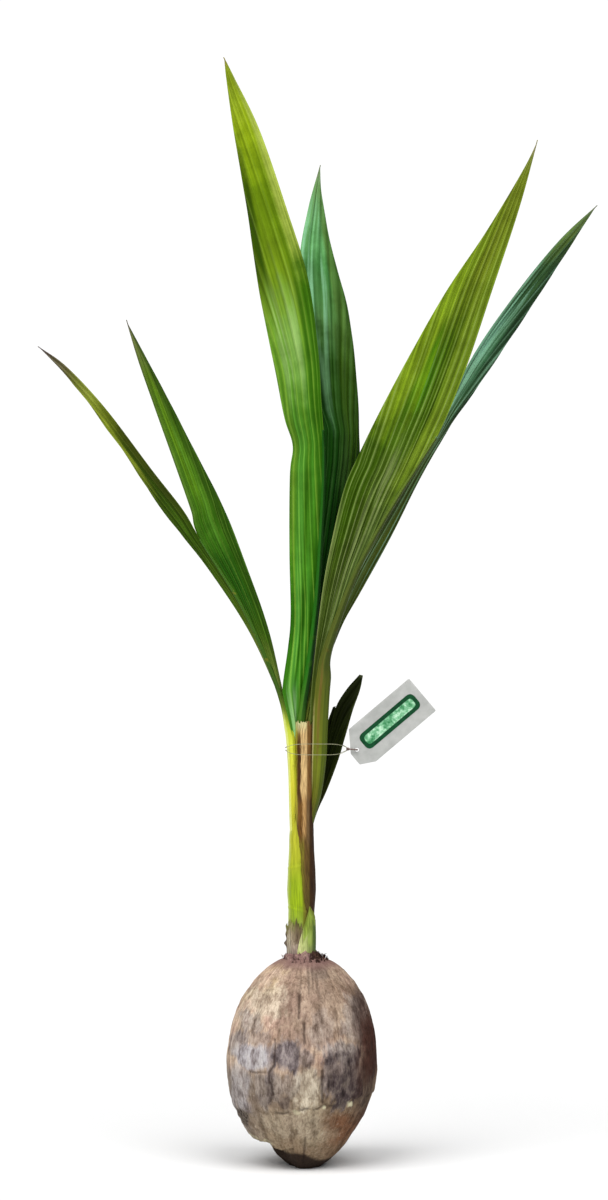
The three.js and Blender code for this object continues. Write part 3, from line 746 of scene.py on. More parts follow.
# The small leaf lies in the others' shade, and its nearly black greens are painted shade
SMALL_LEAF_LOOK = {
    "along": [(0.0, (64, 66, 18)), (0.25, (40, 46, 8)), (0.5, (22, 30, 2)), (1.0, (26, 32, 10))],
    "sprays": [((60, 72, 24), (0.9, 1.3), (0.0, 1.2), 0.5), ((12, 18, 0), (0.2, 0.7), (0.3, 0.9), 0.6)],
    "streaks": [],
    "valley": (10, 14, 0), "ridge": (44, 54, 16), "dark": 0.4, "light": 0.3,
    "grain": (180, 180, 160), "tip": (60, 66, 40), "dry": 0.97, "smooth": 0.5,
}
# Pale left edge: painted highlight. Browns to the right: partly dry sheath, partly painted shade
STEM_LOOK = {
    "along": [
        (0.0, (128, 100, 88)), (0.1, (150, 134, 110)), (0.24, (146, 150, 96)), (0.36, (138, 162, 44)),
        (0.46, (150, 178, 18)), (0.62, (146, 170, 26)), (0.8, (170, 176, 40)), (1.0, (180, 180, 46)),
    ],
    "sprays": [
        ((214, 228, 130), (-0.2, 0.06), (0.3, 1.2), 0.75), ((108, 104, 26), (0.56, 0.72), (0.3, 1.2), 0.85),
        ((96, 78, 34), (0.68, 0.86), (0.3, 1.2), 0.9), ((62, 38, 16), (0.84, 1.2), (0.36, 1.2), 0.95),
    ],
    "spot": (116, 124, 20),
}
STALK_LOOKS = {
    # The pale spray down the left edge is a painted highlight
    "left_leaf_stalk": {
        "along": [
            (0.0, (178, 178, 44)), (0.14, (206, 200, 56)), (0.3, (210, 214, 70)), (0.4, (180, 196, 58)),
            (0.48, (110, 134, 34)), (0.58, (56, 88, 12)), (1.0, (60, 106, 16)),
        ],
        "sprays": [
            ((234, 240, 140), (-0.2, 0.24), (-0.2, 0.46), 0.8),
            ((160, 166, 24), (0.7, 1.2), (-0.2, 0.46), 0.7),
        ],
        "spot": (140, 124, 30),
    },
    # Its dark right half is painted shade, as on the lobe beside it
    "centre_leaf_stalk": {
        "along": [(0.0, (110, 100, 30)), (0.25, (90, 130, 40)), (0.4, (36, 108, 14)), (1.0, (26, 88, 10))],
        "sprays": [((14, 58, 6), (0.5, 1.2), (0.3, 1.2), 0.9)],
        "spot": (50, 90, 10),
    },
    # The pale cream line down the left edge is a painted highlight
    "right_leaf_stalk": {
        "along": [
            (0.0, (92, 80, 26)), (0.12, (92, 92, 22)), (0.3, (106, 116, 24)), (0.45, (92, 98, 24)),
            (0.56, (84, 92, 28)), (0.75, (80, 96, 34)), (1.0, (100, 124, 40)),
        ],
        "sprays": [
            ((206, 198, 140), (-0.2, 0.08), (0.2, 0.4), 0.7), ((66, 84, 14), (0.66, 1.2), (-0.2, 0.5), 0.7),
            ((56, 70, 14), (0.5, 1.2), (0.5, 1.2), 0.85), ((116, 88, 40), (0.3, 0.44), (0.3, 0.56), 0.6),
        ],
        "spot": (84, 66, 16),
    },
}
# The sheath's sprays lie across the front view, in shares of SHEATH_SPAN
SHEATH_SPAN = 20
SHEATH_LOOK = {
    "along": [
        (0.0, (96, 86, 34)), (0.25, (100, 78, 34)), (0.45, (106, 80, 38)), (0.6, (124, 92, 48)),
        (1.0, (150, 118, 60)),
    ],
    "sprays": [
        ((116, 108, 30), (-0.6, 0.12), (-0.2, 0.4), 0.85), ((172, 164, 48), (-1.2, -0.22), (0.5, 1.2), 0.85),
        ((186, 146, 92), (0.0, 0.22), (0.42, 0.64), 0.85), ((108, 72, 24), (-0.19, 0.02), (0.4, 0.62), 0.9),
        ((114, 90, 60), (0.24, 0.37), (0.38, 0.62), 0.8), ((58, 34, 14), (0.38, 1.2), (-0.2, 0.62), 0.95),
        ((222, 188, 130), (-0.06, 0.26), (0.62, 1.2), 0.9), ((70, 40, 10), (-0.24, -0.06), (0.6, 0.92), 0.95),
        ((124, 86, 44), (0.28, 0.46), (0.62, 1.2), 0.85), ((90, 78, 26), (0.48, 1.2), (0.62, 1.2), 0.9),
        ((226, 226, 170), (-0.3, 0.24), (0.965, 1.2), 0.7),
    ],
}
PAPERY_LOOK = {
    "along": [(0.0, (128, 108, 104)), (0.3, (168, 152, 134)), (0.7, (156, 142, 112)), (1.0, (136, 140, 76))],
    "sprays": [
        ((86, 68, 46), (0.82, 1.2), (0.35, 1.2), 0.7), ((200, 192, 168), (0.5, 0.7), (0.0, 0.7), 0.5),
        ((64, 50, 42), (0.36, 0.5), (0.1, 0.8), 0.75),
    ],
    "grain": (112, 96, 84), "spot": (84, 62, 50), "spotted": 0.75, "roughness": 0.85,
}
POINTED_LOOK = {
    "along": [(0.0, (142, 146, 104)), (0.3, (152, 172, 84)), (0.8, (140, 162, 60)), (1.0, (112, 120, 40))],
    "sprays": [
        ((60, 88, 24), (0.4, 1.2), (0.0, 0.75), 0.85), ((208, 210, 150), (-0.2, 0.12), (-0.2, 1.2), 0.9),
        ((198, 204, 140), (0.1, 0.24), (-0.2, 0.5), 0.7),
    ],
    "grain": (160, 165, 125), "spot": (120, 110, 60), "spotted": 0.3, "roughness": 0.5,
}


# Leaves

def leaf_look(name, look):
    """Pleated leaf, with painted shade in the valleys of its pleats and painted highlights on their ridges.
    """
    made = Look(name, Specular_IOR_Level=0.04)
    along, across, pleat = (made.attribute(key) for key in ("along", "across", "pleat"))
    broad = made.lines(pleat, along, (1.0, 2.0, 0.0), 1.15, 2.0)
    fine = made.lines(pleat, along, (3.0, 4.0, 0.0), 1.7, 3.0)
    wander = made.lines(pleat, along, (1.0, 1.4, 3.0), 0.8, 2.0)
    dense = made.step(made.lines(pleat, along, (0.6, 1.8, 11.0), 1.0, 2.0), 0.5, 0.6)
    mottle = made.mottle(45.0, 4.0, 0.6)
    near = made.moved(across, broad, 0.12)
    far = made.moved(made.moved(along, broad, 0.12), mottle, 0.1)
    colour = made.spray(made.ramp(far, *look["along"]), far, near, look["sprays"], 0.065)

    def wave(angle):
        return made.calc("MULTIPLY_ADD", made.calc("COSINE", angle), 0.5, 0.5)

    # Stripes of painted shade and painted highlight follow the pleats, and in places there are two to a pleat
    angle = made.times(made.moved(pleat, wander, 0.9), TURN)
    ridge = wave(angle)
    closer = wave(made.times(angle, 2.0))
    ridge = made.calc("MULTIPLY_ADD", made.calc("SUBTRACT", closer, ridge), dense, ridge)
    uneven = made.times(made.step(broad, 0.34, 0.62, 0.15, 1.3), made.step(along, 0.5, 0.85, 1.0, 0.5))
    dark = made.calc("POWER", made.calc("SUBTRACT", 1.0, ridge), 2.5)
    light = made.calc("POWER", ridge, 6.0)
    colour = made.blend(colour, look["valley"], made.times(dark, look["dark"], uneven))
    colour = made.blend(colour, look["ridge"], made.times(light, look["light"], uneven))
    colour = made.shaded(colour, fine, 0.32, 0.62, look["grain"], 0.6)
    # Streaks: painted sheen and reflections on most leaves, plain tints on the left ones
    sheen_and_tint_streak = made.lines(pleat, along, (1.6, 3.2, 7.0), 1.2, 2.0)
    for tint, strength, (low, high), (left, right) in look["streaks"]:
        reach = made.times(made.band(far, low, high, 0.06), made.band(near, left, right, 0.06))
        reach = made.times(reach, made.step(sheen_and_tint_streak, 0.44, 0.62, 0.0, strength))
        colour = made.blend(colour, tint, reach)
    colour = made.shaded(colour, mottle, 0.3, 0.62, (190, 190, 168), 0.5)
    colour = made.blend(colour, look["tip"], made.step(made.moved(along, mottle, 0.08), look["dry"], 1.0))
    made.bump(fine, 0.0004)
    made.bump(made.mottle(400.0, 3.0), 0.0001)
    return made.finish(colour, made.step(fine, 0.2, 0.8, look["smooth"], look["smooth"] + 0.15))


def lobe_edges(lobe):
    """Rib edge and free edge of a lobe, each station's share of the length, and the share at the notch."""
    leaf = lobe["leaf"]
    rib = place(leaf["stalk"][-2:] + lobe["rib"])
    notch = 1 / (len(lobe["rib"]) + 1)
    low = np.linspace(lobe.get("start", leaf["start"]), 1, STATIONS_ON_STALK + 1)
    high = np.linspace(notch, 1, STATIONS_PAST_NOTCH + 1)[1:]
    ribs = np.vstack([on_curve(place(leaf["stalk"]), low), on_curve(rib, high)])
    heads = unit(np.gradient(ribs, axis=0))
    reach = length_up_to(ribs)
    shares = reach / reach[-1]
    frees = by_length(place(lobe["free"] + lobe["rib"][-1:]), shares)
    # The edge starts inside the midrib, near its surface, and the two lobes overlap a little past its end
    spots = np.linspace(0, 1, len(leaf["widths"]))
    inside = np.interp(low, spots, leaf["widths"]) * (1 - 1.6 * ease(low, 0.86, 1))
    overlap = 0.6 * leaf["widths"][-1] * (1 - (high - notch) / (1 - notch))
    clear = 0.6 * np.concatenate([inside, -overlap])
    chord = frees - ribs
    chord -= heads * (chord * heads).sum(1, keepdims=True)
    # Where the edges are too near to each other, the last clear direction between them is kept
    known = np.flatnonzero(np.linalg.norm(chord, axis=1) > clear + 2)
    last_known = np.maximum(np.searchsorted(known, np.arange(len(ribs)), side="right") - 1, 0)
    sides = unit(chord)[known[last_known]]
    ribs = ribs + sides * clear[:, None]
    thin = ((frees - ribs) * sides).sum(1) < LEAF_TIP_WIDTH
    frees[thin] = ribs[thin] + sides[thin] * LEAF_TIP_WIDTH
    return ribs, frees, shares, shares[STATIONS_ON_STALK]


def blade(ribs, frees, shares, notch, arch, pleats, seed, fan=FAN, columns=LEAF_COLUMNS):
    """Thin pleated blade between two edges: its vertices, faces and attributes."""
    u = shares[:, None]
    v = np.linspace(0, 1, columns + 1)
    chord = frees - ribs
    width = np.linalg.norm(chord, axis=1)[:, None]
    normal = unit(np.cross(np.gradient(ribs + frees, axis=0), chord))[:, None]
    # Veins leave the midrib one by one up to the notch, and run up to the free edge and the tip
    at_rib = mix(0.4, 1, np.minimum(u / notch, 1))
    spread, kept = fan
    at_free = 0.82 * np.maximum(0, (u - 0.42) / 0.58) + kept * ease(u, spread + 0.14, spread)
    phase = mix(at_rib, at_free, v) * pleats
    spacing = width / np.maximum((at_rib - at_free) * pleats, 0.5)
    hump = 4 * v * (1 - v)
    ridge = 2 * (0.5 + 0.5 * np.cos(TURN * phase)) ** 1.4 - 0.9
    fold = np.minimum(PLEAT_RATIO * spacing, PLEAT_MOST) * ridge * np.minimum(1, 0.25 + hump * 3)
    slow = noise(u * 9, 0.5, 0, seed) * np.minimum(width * 0.03, 1.2) * v**2
    rise = arch * width * hump + fold + slow
    half = LEAF_THICKNESS / 2 * np.minimum(1, 0.35 + hump) * np.minimum(1, width / 6)
    middle = ribs[:, None] + chord[:, None] * v[:, None]
    upper = middle + normal * (rise + half)[..., None]
    lower = middle + normal * (rise - half)[..., None]
    return *two_sided(upper, lower), sheet_shares(along=u, across=v[None, :], pleat=phase)


def make_leaves():
    for seed, (node, lobe) in enumerate(LOBES.items(), 40):
        solid = blade(*lobe_edges(lobe), lobe["arch"], lobe["pleats"], seed, lobe.get("fan", FAN))
        make_piece(node + "_blade", node, leaf_look(node + "_leaf", LEAF_LOOKS[node]), *solid)
    # Nearly black: painted shade
    dark = leaf_look("small_leaf_leaf", SMALL_LEAF_LOOK)
    shares = np.linspace(0, 1, STATIONS_ON_SMALL_LEAF + 1)
    for node, leaf in SMALL_LEAVES.items():
        edges = [by_length(place(leaf[edge]), shares) for edge in ("rib", "free")]
        solid = blade(
            *edges, shares, SMALL_LEAF_NOTCH, SMALL_LEAF_ARCH, leaf["pleats"], 60, columns=SMALL_LEAF_COLUMNS
        )
        make_piece(node + "_blade", node, dark, *solid)


# Stalks and stem

def stalk_look(name, look):
    """Stalk or stem, with fine lines along it and spots."""
    made = Look(name, Specular_IOR_Level=0.15)
    along, across = made.attribute("along"), made.attribute("across")
    lines = made.lines(across, along, (14.0, 4.0, 0.0), 1.5, 4.0)
    spots = made.mottle(90.0, 3.0, 0.6)
    near = made.moved(across, lines, 0.22)
    far = made.moved(along, lines, 0.14)
    colour = made.spray(made.ramp(far, *look["along"]), far, near, look["sprays"])
    colour = made.shaded(colour, lines, 0.32, 0.62, (150, 150, 110), 0.5)
    colour = made.blend(colour, look["spot"], made.step(spots, 0.62, 0.72, 0.0, 0.4))
    made.bump(lines, 0.0005)
    return made.finish(colour, made.step(lines, 0.2, 0.8, 0.4, 0.6))


def make_stalk(node, leaf):
    """Leaf stalk that rises out of the stem and runs up as the midrib, with fine ribs along it."""
    foot = leaf["foot"]
    t = np.linspace(0, 1, STALK_ROWS)
    path = on_curve(place([foot["point"]] + leaf["stalk"]), t)
    spots = np.linspace(0, 1, len(leaf["stalk"]) + 1)
    widths = np.interp(t, spots, [foot["width"]] + leaf["widths"])[:, None]
    depths = np.interp(t, spots, [foot["depth"]] + leaf["depths"])[:, None]
    ribs = 0.03 * widths * np.cos(9 * turn_angles(STALK_SIDES))
    rings = tube(path, widths + ribs, depths + ribs, STALK_SIDES)
    along = np.interp(t, [0, spots[1], 1], [-0.05, 0, 1])
    material = stalk_look(node + "_stalk", STALK_LOOKS[node])
    make_piece(node + "_limb", node, material, *capped(rings), tube_shares(along, STALK_SIDES))


def make_stem():
    """Stem with shallow grooves and the lines of three old leaves."""
    profile = np.array(STEM_PROFILE, float)
    z = np.linspace(profile[0, 1], profile[-1, 1], STEM_ROWS)
    share = (z - STEM_FOOT_Z) / (FORK_Z - STEM_FOOT_Z)
    angle = turn_angles(STEM_SIDES)
    height = z[:, None]
    reach = np.interp(height, profile[:, 1], profile[:, 0])
    reach = reach + 0.22 * rough_noise(3.5 * np.cos(angle), 3.5 * np.sin(angle), height / 60, 7)
    for ring_z, tilt in STEM_RINGS:
        level = height - ring_z - tilt * np.cos(angle)
        reach += 0.3 * hill(level, -2, 1.4) - 0.35 * hill(level, 0, 0.8)
    rings = level_rings(angle, reach, height)
    material = stalk_look("stem_skin", STEM_LOOK)
    make_piece("stem_skin", "stem", material, *capped(rings), tube_shares(share, STEM_SIDES))


# Sheath and scales

def sheath_look():
    """Brown fibres with paler and darker patches."""
    made = Look("sheath_fibre", Specular_IOR_Level=0.15)
    along, across = made.attribute("along"), made.attribute("across")
    fibres = made.lines(across, along, (16.0, 9.0, 0.0), 1.6, 5.0)
    x = made.axes()[0]
    near = made.moved(made.times(x, 1 / (SHEATH_SPAN * MM)), fibres, 0.2)
    colour = made.spray(made.ramp(along, *SHEATH_LOOK["along"]), along, near, SHEATH_LOOK["sprays"], 0.04)
    colour = made.shaded(colour, fibres, 0.34, 0.62, (120, 104, 84), 0.7)
    made.bump(fibres, 0.0008)
    return made.finish(colour, made.step(fibres, 0.2, 0.8, 0.55, 0.8))


def make_sheath():
    """Fibrous dead sheath round the stem's right side, with wavy frayed sides and a torn pale top."""
    levels = np.array(SHEATH_LEVELS, float)
    z = np.linspace(levels[0, 0], levels[-1, 0], SHEATH_ROWS)[:, None]
    x, y, radius, start, end = (np.interp(z, levels[:, 0], column) for column in levels.T[1:])
    share = np.linspace(0, 1, SHEATH_COLUMNS + 1)
    start = start + 2.5 * rough_noise(z / 5, 0, 22, 22)
    end = end + 2.5 * rough_noise(z / 5 + 9, 9, 31, 22)
    angle = np.radians(mix(start, end, share))
    out = outward(angle)
    reach = radius + 0.28 * rough_noise(angle * 9, z / 40, 0, 21)
    # The top is torn: it ends at a height that changes from fibre to fibre
    ragged = 3.4 * rough_noise(share * 22, 0, 0, 23) - 0.8
    lift = np.minimum(ease(z, z[-1] - 14, z[-1]) * ragged, 1)
    edge = np.minimum(1, 0.3 + 6 * np.minimum(share, 1 - share))
    outer = grid(x, y, z + lift) + out * reach[..., None]
    inner = outer - out * (SHEATH_THICKNESS * edge)[:, None]
    along = (z - z[0]) / (z[-1] - z[0])
    shares = sheet_shares(along=along, across=share[None, :])
    make_piece("brown_sheath_fibre", "brown_sheath", sheath_look(), *two_sided(outer, inner), shares)


def scale_look(name, look):
    """Thin scale with fibres and spots."""
    made = Look(name, Specular_IOR_Level=0.15)
    along, across = made.attribute("along"), made.attribute("across")
    fibres = made.lines(across, along, (22.0, 3.0, 0.0), 1.4, 5.0)
    spots = made.mottle(170.0, 4.0, 0.6)
    near = made.moved(across, fibres, 0.16)
    far = made.moved(along, spots, 0.3)
    colour = made.spray(made.ramp(far, *look["along"]), far, near, look["sprays"])
    colour = made.shaded(colour, fibres, 0.34, 0.62, look["grain"], 0.7)
    colour = made.blend(colour, look["spot"], made.step(spots, 0.58, 0.7, 0.0, look["spotted"]))
    made.bump(fibres, 0.0006)
    return made.finish(colour, look["roughness"])


def make_scale(node, start, end, top, look, seed, flare, lift=0.0, flakes=()):
    """Scale that hugs the stem's foot. Its top changes across it, and a flake is (share, height, size)."""
    share = np.linspace(0, 1, SCALE_COLUMNS + 1)
    rise = np.linspace(0, 1, SCALE_ROWS)[:, None]
    z = mix(SCALE_FOOT_Z, top(share), rise)
    angle = np.radians(mix(start, end, share))
    out = outward(angle)
    wave = rough_noise(angle * 8, z / 30, 0, seed)
    reach = SCALE_RADIUS + lift + 0.35 * wave + flare * rise**3 * (0.3 + wave)
    reach -= 0.9 * ease(z, SCALE_FOOT_Z + 18, SCALE_FOOT_Z + 50)
    for spot, level, size in flakes:
        reach += size * hill(share, spot, 0.035) * hill(z, level, 2.6 + wave)
    thick = SCALE_THICKNESS * np.minimum(1, 0.35 + 5 * np.minimum(share, 1 - share)) * (1 - 0.6 * rise)
    outer = grid(STEM_X, 0, z) + out * reach[..., None]
    inner = outer - out * thick[..., None]
    shares = sheet_shares(along=rise, across=share[None, :])
    make_piece(node + "_skin", node, scale_look(node + "_skin", look), *two_sided(outer, inner), shares)


def papery_top(share):
    """Frayed top of the papery scale."""
    frayed = 6 * rough_noise(share * 7, 0, 0, 31) + 5 * noise(share * 34, 0, 0, 34)
    return mix(226, 246, np.sin(share * math.pi * 0.72)) + frayed


def pointed_top(share):
    """Top of the green scale, which rises to a point a third of the way across."""
    rising = mix(216, 261, (share / 0.32) ** 0.8)
    falling = mix(224, 261, np.maximum(1 - (share - 0.32) / 0.68, 0) ** 0.8)
    return np.where(share < 0.32, rising, falling)


# Nut

# Marks on the husk: kind, side, share of the raggedness, and patches of (middle, half sizes, strength)
SKINS = [
    ("plate", "front", 0.5, [((-48, 116), (18, 12), 0.9), ((-62, 84), (9, 27), 0.5)]),
    ("grey", "front", 1, [
        ((-51, 148), (13, 10), 0.6), ((-62, 126), (12, 13), 0.7), ((-34, 86), (17, 19), 0.45),
        ((-10, 90), (10, 12), 0.35), ((38, 122), (20, 13), 0.8), ((54, 150), (14, 24), 0.5),
        ((20, 146), (15, 18), 0.3),
    ]),
    ("grey", "back", 1, [((30, 120), (24, 30), 0.9), ((-34, 80), (16, 20), 0.7)]),
    ("violet", "front", 1.25, [
        ((-15, 120), (15, 15), 1), ((1, 117), (13, 9), 0.7), ((-48, 133), (21, 7), 0.5),
        ((40, 98), (24, 32), 0.75), ((-58, 62), (9, 7), 0.6), ((-32, 112), (6, 18), 0.7),
    ]),
    ("dark", "front", 1, [
        ((-16, 71), (6, 7), 0.7), ((-31, 84), (5, 16), 0.6), ((56, 166), (6, 20), 0.55),
        ((16, 200), (9, 8), 0.45), ((-40, 72), (12, 5), 0.4), ((60, 92), (12, 30), 0.6),
    ]),
    ("dark", "right", 1.3, [((32, 106), (14, 20), 0.7), ((42, 86), (18, 20), 1), ((50, 110), (10, 16), 0.8)]),
    ("dark", "back", 1, [((-20, 130), (26, 18), 0.9), ((40, 70), (18, 16), 0.8)]),
    ("pale", "front", 1, [
        ((7, 85), (14, 23), 1), ((6, 138), (15, 15), 0.1), ((-8, 50), (32, 14), 0.3),
        ((-36, 168), (24, 18), 0.7),
    ]),
]
CHIPS = [((21, 68), (2.4, 3), 1), ((48, 68), (2.6, 3.4), 1), ((-4, 63), (4, 2), 0.5)]
LEDGE = [((-60, 51), (8, 10), 1)]
# Cracks: side, how far a jag moves them in x and in z, width, strength, and points of (x, z)
CRACKS = [
    ("front", 1.6, 0, 1.1, 1, [(-27, 134), (-27, 118), (-27.5, 110), (-33, 101), (-32, 92), (-29, 80)]),
    ("front", 0, 1.6, 1, 0.6, [(-52, 101), (-36, 101)]),
    ("front", 0.64, 0, 1.2, 1, [(20, 104), (20.5, 72)]),
    ("front", 0.8, 0, 1, 0.8, [(3, 36), (1, 8)]),
    ("front", 0.64, 0, 1.2, 1, [(-2.4, 176), (-3.4, 155)]),
    ("front", 0.64, 0, 1.1, 1, [(2.2, 150), (2.8, 131)]),
    ("front", 0.64, 0, 0.8, 0.6, [(6, 207), (6.5, 178)]),
    ("front", 0.64, 0, 0.8, 0.6, [(9.8, 206), (11, 182)]),
    ("front", 1.6, 0, 0.9, 0.5, [(14, 196), (16, 182), (20, 170)]),
    ("back", 1.6, 0, 1.2, 1, [(-20, 170), (-22, 120)]),
    ("back", 1.6, 0, 1.2, 1, [(26, 150), (24, 90)]),
]


def nut_share(z):
    """Half width of the nut at a height, as a share of its widest."""
    rising = z > NUT_WIDEST_Z
    reach = np.where(rising, NUT_HEIGHT - NUT_WIDEST_Z, NUT_WIDEST_Z + NUT_FOOT_DROP)
    u = np.abs(z - NUT_WIDEST_Z) / reach
    pinch = np.where(rising, 0, NUT_POINTEDNESS * u**3)
    return np.sqrt(np.maximum(1 - u * u, 0)) * (1 - pinch)


def nut_rows():
    """Heights of the nut's rows, evenly spaced along its side, from the foot to the rim."""
    z = np.linspace(0, SOCKET_RIM_Z, 4001)
    reach = length_up_to(grid(nut_share(z) * NUT_WIDTH / 2, z))
    return np.interp(np.linspace(0, reach[-1], NUT_ROWS), reach, z)


def field(spots, scale, seed, octaves=4):
    """Noise at spots of (x, y, z), with features of about scale in each direction."""
    return rough_noise(*(spot / size for spot, size in zip(spots, scale)), seed, octaves)


def line_mask(x, z, points, width):
    """1 on a line through points of (x, z) and 0 away from it."""
    near = np.full(x.shape, 1e9)
    for (x0, z0), (x1, z1) in zip(points, points[1:]):
        run_x, run_z = x1 - x0, z1 - z0
        share = np.clip(((x - x0) * run_x + (z - z0) * run_z) / (run_x**2 + run_z**2), 0, 1)
        near = np.minimum(near, np.hypot(x - x0 - share * run_x, z - z0 - share * run_z))
    return hill(near, 0, width)


def patches(x, z, ragged, spots):
    """1 inside squarish patches with ragged edges. Each has a middle, half sizes and a strength."""
    total = np.zeros(x.shape)
    for (middle_x, middle_z), (half_x, half_z), strength in spots:
        off = np.abs((x - middle_x) / half_x) ** 3 + np.abs((z - middle_z) / half_z) ** 3
        total = np.maximum(total, strength * ease(1 - np.cbrt(off) + ragged, -0.2, 0.32))
    return total


def husk_marks(spots, angle):
    """Marks of the husk for its material, and how far it stands out, at spots of (x, y, z)."""
    x, y, z = spots
    # Fibres run from the foot to the crown, so they are noise round the nut and along it
    fine = rough_noise(34 * np.cos(angle), 34 * np.sin(angle), z / 25, 3, 3)
    strands = rough_noise(11 * np.cos(angle), 11 * np.sin(angle), z / 31.25, 5, 3)
    bend = field(spots, (26, 26, 26), 71)
    jag = field(spots, (7, 7, 10), 72, 3)
    ragged = 0.42 * field(spots, (9, 9, 13), 73) + 0.3 * field(spots, (2.4, 2.4, 8), 74, 3)
    front = ease(y, 14, -14)
    sides = {"front": front, "back": 1 - front, "right": front * ease(x + 0.5 * jag, 19, 21.5)}

    # Skin that is left, and pale fibres where it is gone, laid out on a bent front view
    bent_x = x + 3.5 * field(spots, (24, 24, 24), 75)
    bent_z = z + 4.5 * bend
    marks = dict.fromkeys(("plate", "grey", "violet", "dark", "pale"), 0)
    for kind, side, share, places in SKINS:
        laid = sides[side] * patches(bent_x, bent_z, share * ragged, places)
        marks[kind] = np.maximum(marks[kind], laid)
    reddish = ease(x + 7 * ragged, 50, 68) * ease(y + 22 * ragged, 26, -6)
    reddish = reddish * ease(z + 16 * ragged, 76, 106) * ease(z + 16 * ragged, 172, 142)

    # Below a step the skin is gone, and the husk lies lower
    step_z = 65 + 0.14 * np.clip(x, -30, 60) + 3.4 * bend + 2.8 * jag
    bare = ease(z, step_z + 1, step_z - 1) * ease(z, 16, 30) * ease(x, -52, -30)
    gaps = ease(field(spots, (9, 9, 9), 79, 2), -0.25, 0.15)
    chips = patches(bent_x, bent_z, ragged, CHIPS) * front
    # The dark line along the step is painted shade under its edge
    crack = 0.8 * hill(z, step_z, 1.3) * gaps * ease(x, -34, -20) * front
    for side, in_x, in_z, width, strength, points in CRACKS:
        line = strength * line_mask(x + in_x * jag, z + in_z * jag, points, width)
        crack = np.maximum(crack, sides[side] * line)

    # Broken husk low on the left, under an edge that falls towards the middle
    turn = (np.degrees(angle) - BREAK_ANGLE + 540) % 360 - 180
    inside = 1 - np.minimum(np.abs(turn) / BREAK_SPREAD, 1) ** 2
    edge_z = 29 + 0.25 * np.clip(-x - 45, -24, 12) + 4 * jag + 4 * field(spots, (2.6, 2.6, 8), 78, 2)
    broken = inside * ease(z, edge_z + 0.8, edge_z - 1.2) * mix(0.5, 1, ease(z, 8, 24))
    ledge = patches(x, z, 0.4 * ragged, LEDGE) * front
    edge = 0.6 * hill(z, edge_z + 2, 1.6) * inside * ease(jag, -0.5, 0.2)

    relief = (
        1.2 * field(spots, (42, 42, 42), 11) + 0.8 * field(spots, (12, 12, 18), 15)
        + 0.5 * field(spots, (4, 4, 8), 16, 2) + 0.4 * strands + 0.3 * fine
        + 0.8 * marks["plate"] + 0.5 * marks["grey"] + 0.4 * marks["violet"] + 0.3 * marks["dark"]
        - 0.4 * marks["pale"] - 1.4 * bare * ease(z, 12, 40) + chips - 1.4 * crack
        + ledge * (1.1 * np.cos(x * 2.2 + z * 0.4) - 1.2)
    )
    relief *= ease(z, 0, 9) * ease(z, SOCKET_RIM_Z + 1, SOCKET_RIM_Z - 9) * 0.9 + 0.1
    marks.update(
        red_edge=reddish, crack=crack, ledge=ledge, broken=np.clip(broken * 1.6, 0, 1),
        edge=np.maximum(edge, chips), strand=0.5 + 0.5 * strands, fibre=0.5 + 0.5 * fine,
    )
    return marks, relief - BREAK_DEPTH * broken * (1 + 0.08 * fine)


def make_nut():
    z = nut_rows()[:, None]
    angle = turn_angles(NUT_COLUMNS)
    ridge = 1 + NUT_RIDGE * np.cos(NUT_RIDGES * (angle - math.radians(NUT_RIDGE_ANGLE)))
    above = z / NUT_WIDEST_Z - 1
    lean = NUT_LEAN * above * np.where(above > 0, 1, z / NUT_WIDEST_Z)
    width = NUT_WIDTH / 2 * nut_share(z) * ridge
    depth = NUT_DEPTH / 2 * nut_share(z) * ridge
    marks, relief = husk_marks((lean + width * np.cos(angle), depth * np.sin(angle), z), angle)
    spread = 1 + relief / np.maximum(width, 12)
    skin = grid(lean + width * spread * np.cos(angle), depth * spread * np.sin(angle), z)
    # The rim turns into the hole that the shoot comes out of
    inner = SOCKET_RIM_RADIUS - SOCKET_LIP
    rim = [(SOCKET_RIM_RADIUS, SOCKET_RIM_Z), (inner, SOCKET_RIM_Z - 1), (inner, SOCKET_RIM_Z - SOCKET_DEPTH)]
    socket = np.array([level_rings(angle, radius, height) for radius, height in rim])
    unmarked = np.zeros(len(rim) * NUT_COLUMNS + 2)
    attributes = {key: np.append(values, unmarked) for key, values in marks.items()}
    make_piece("nut_husk_skin", "nut_husk", husk_look(), *capped(np.vstack([skin, socket])), attributes)


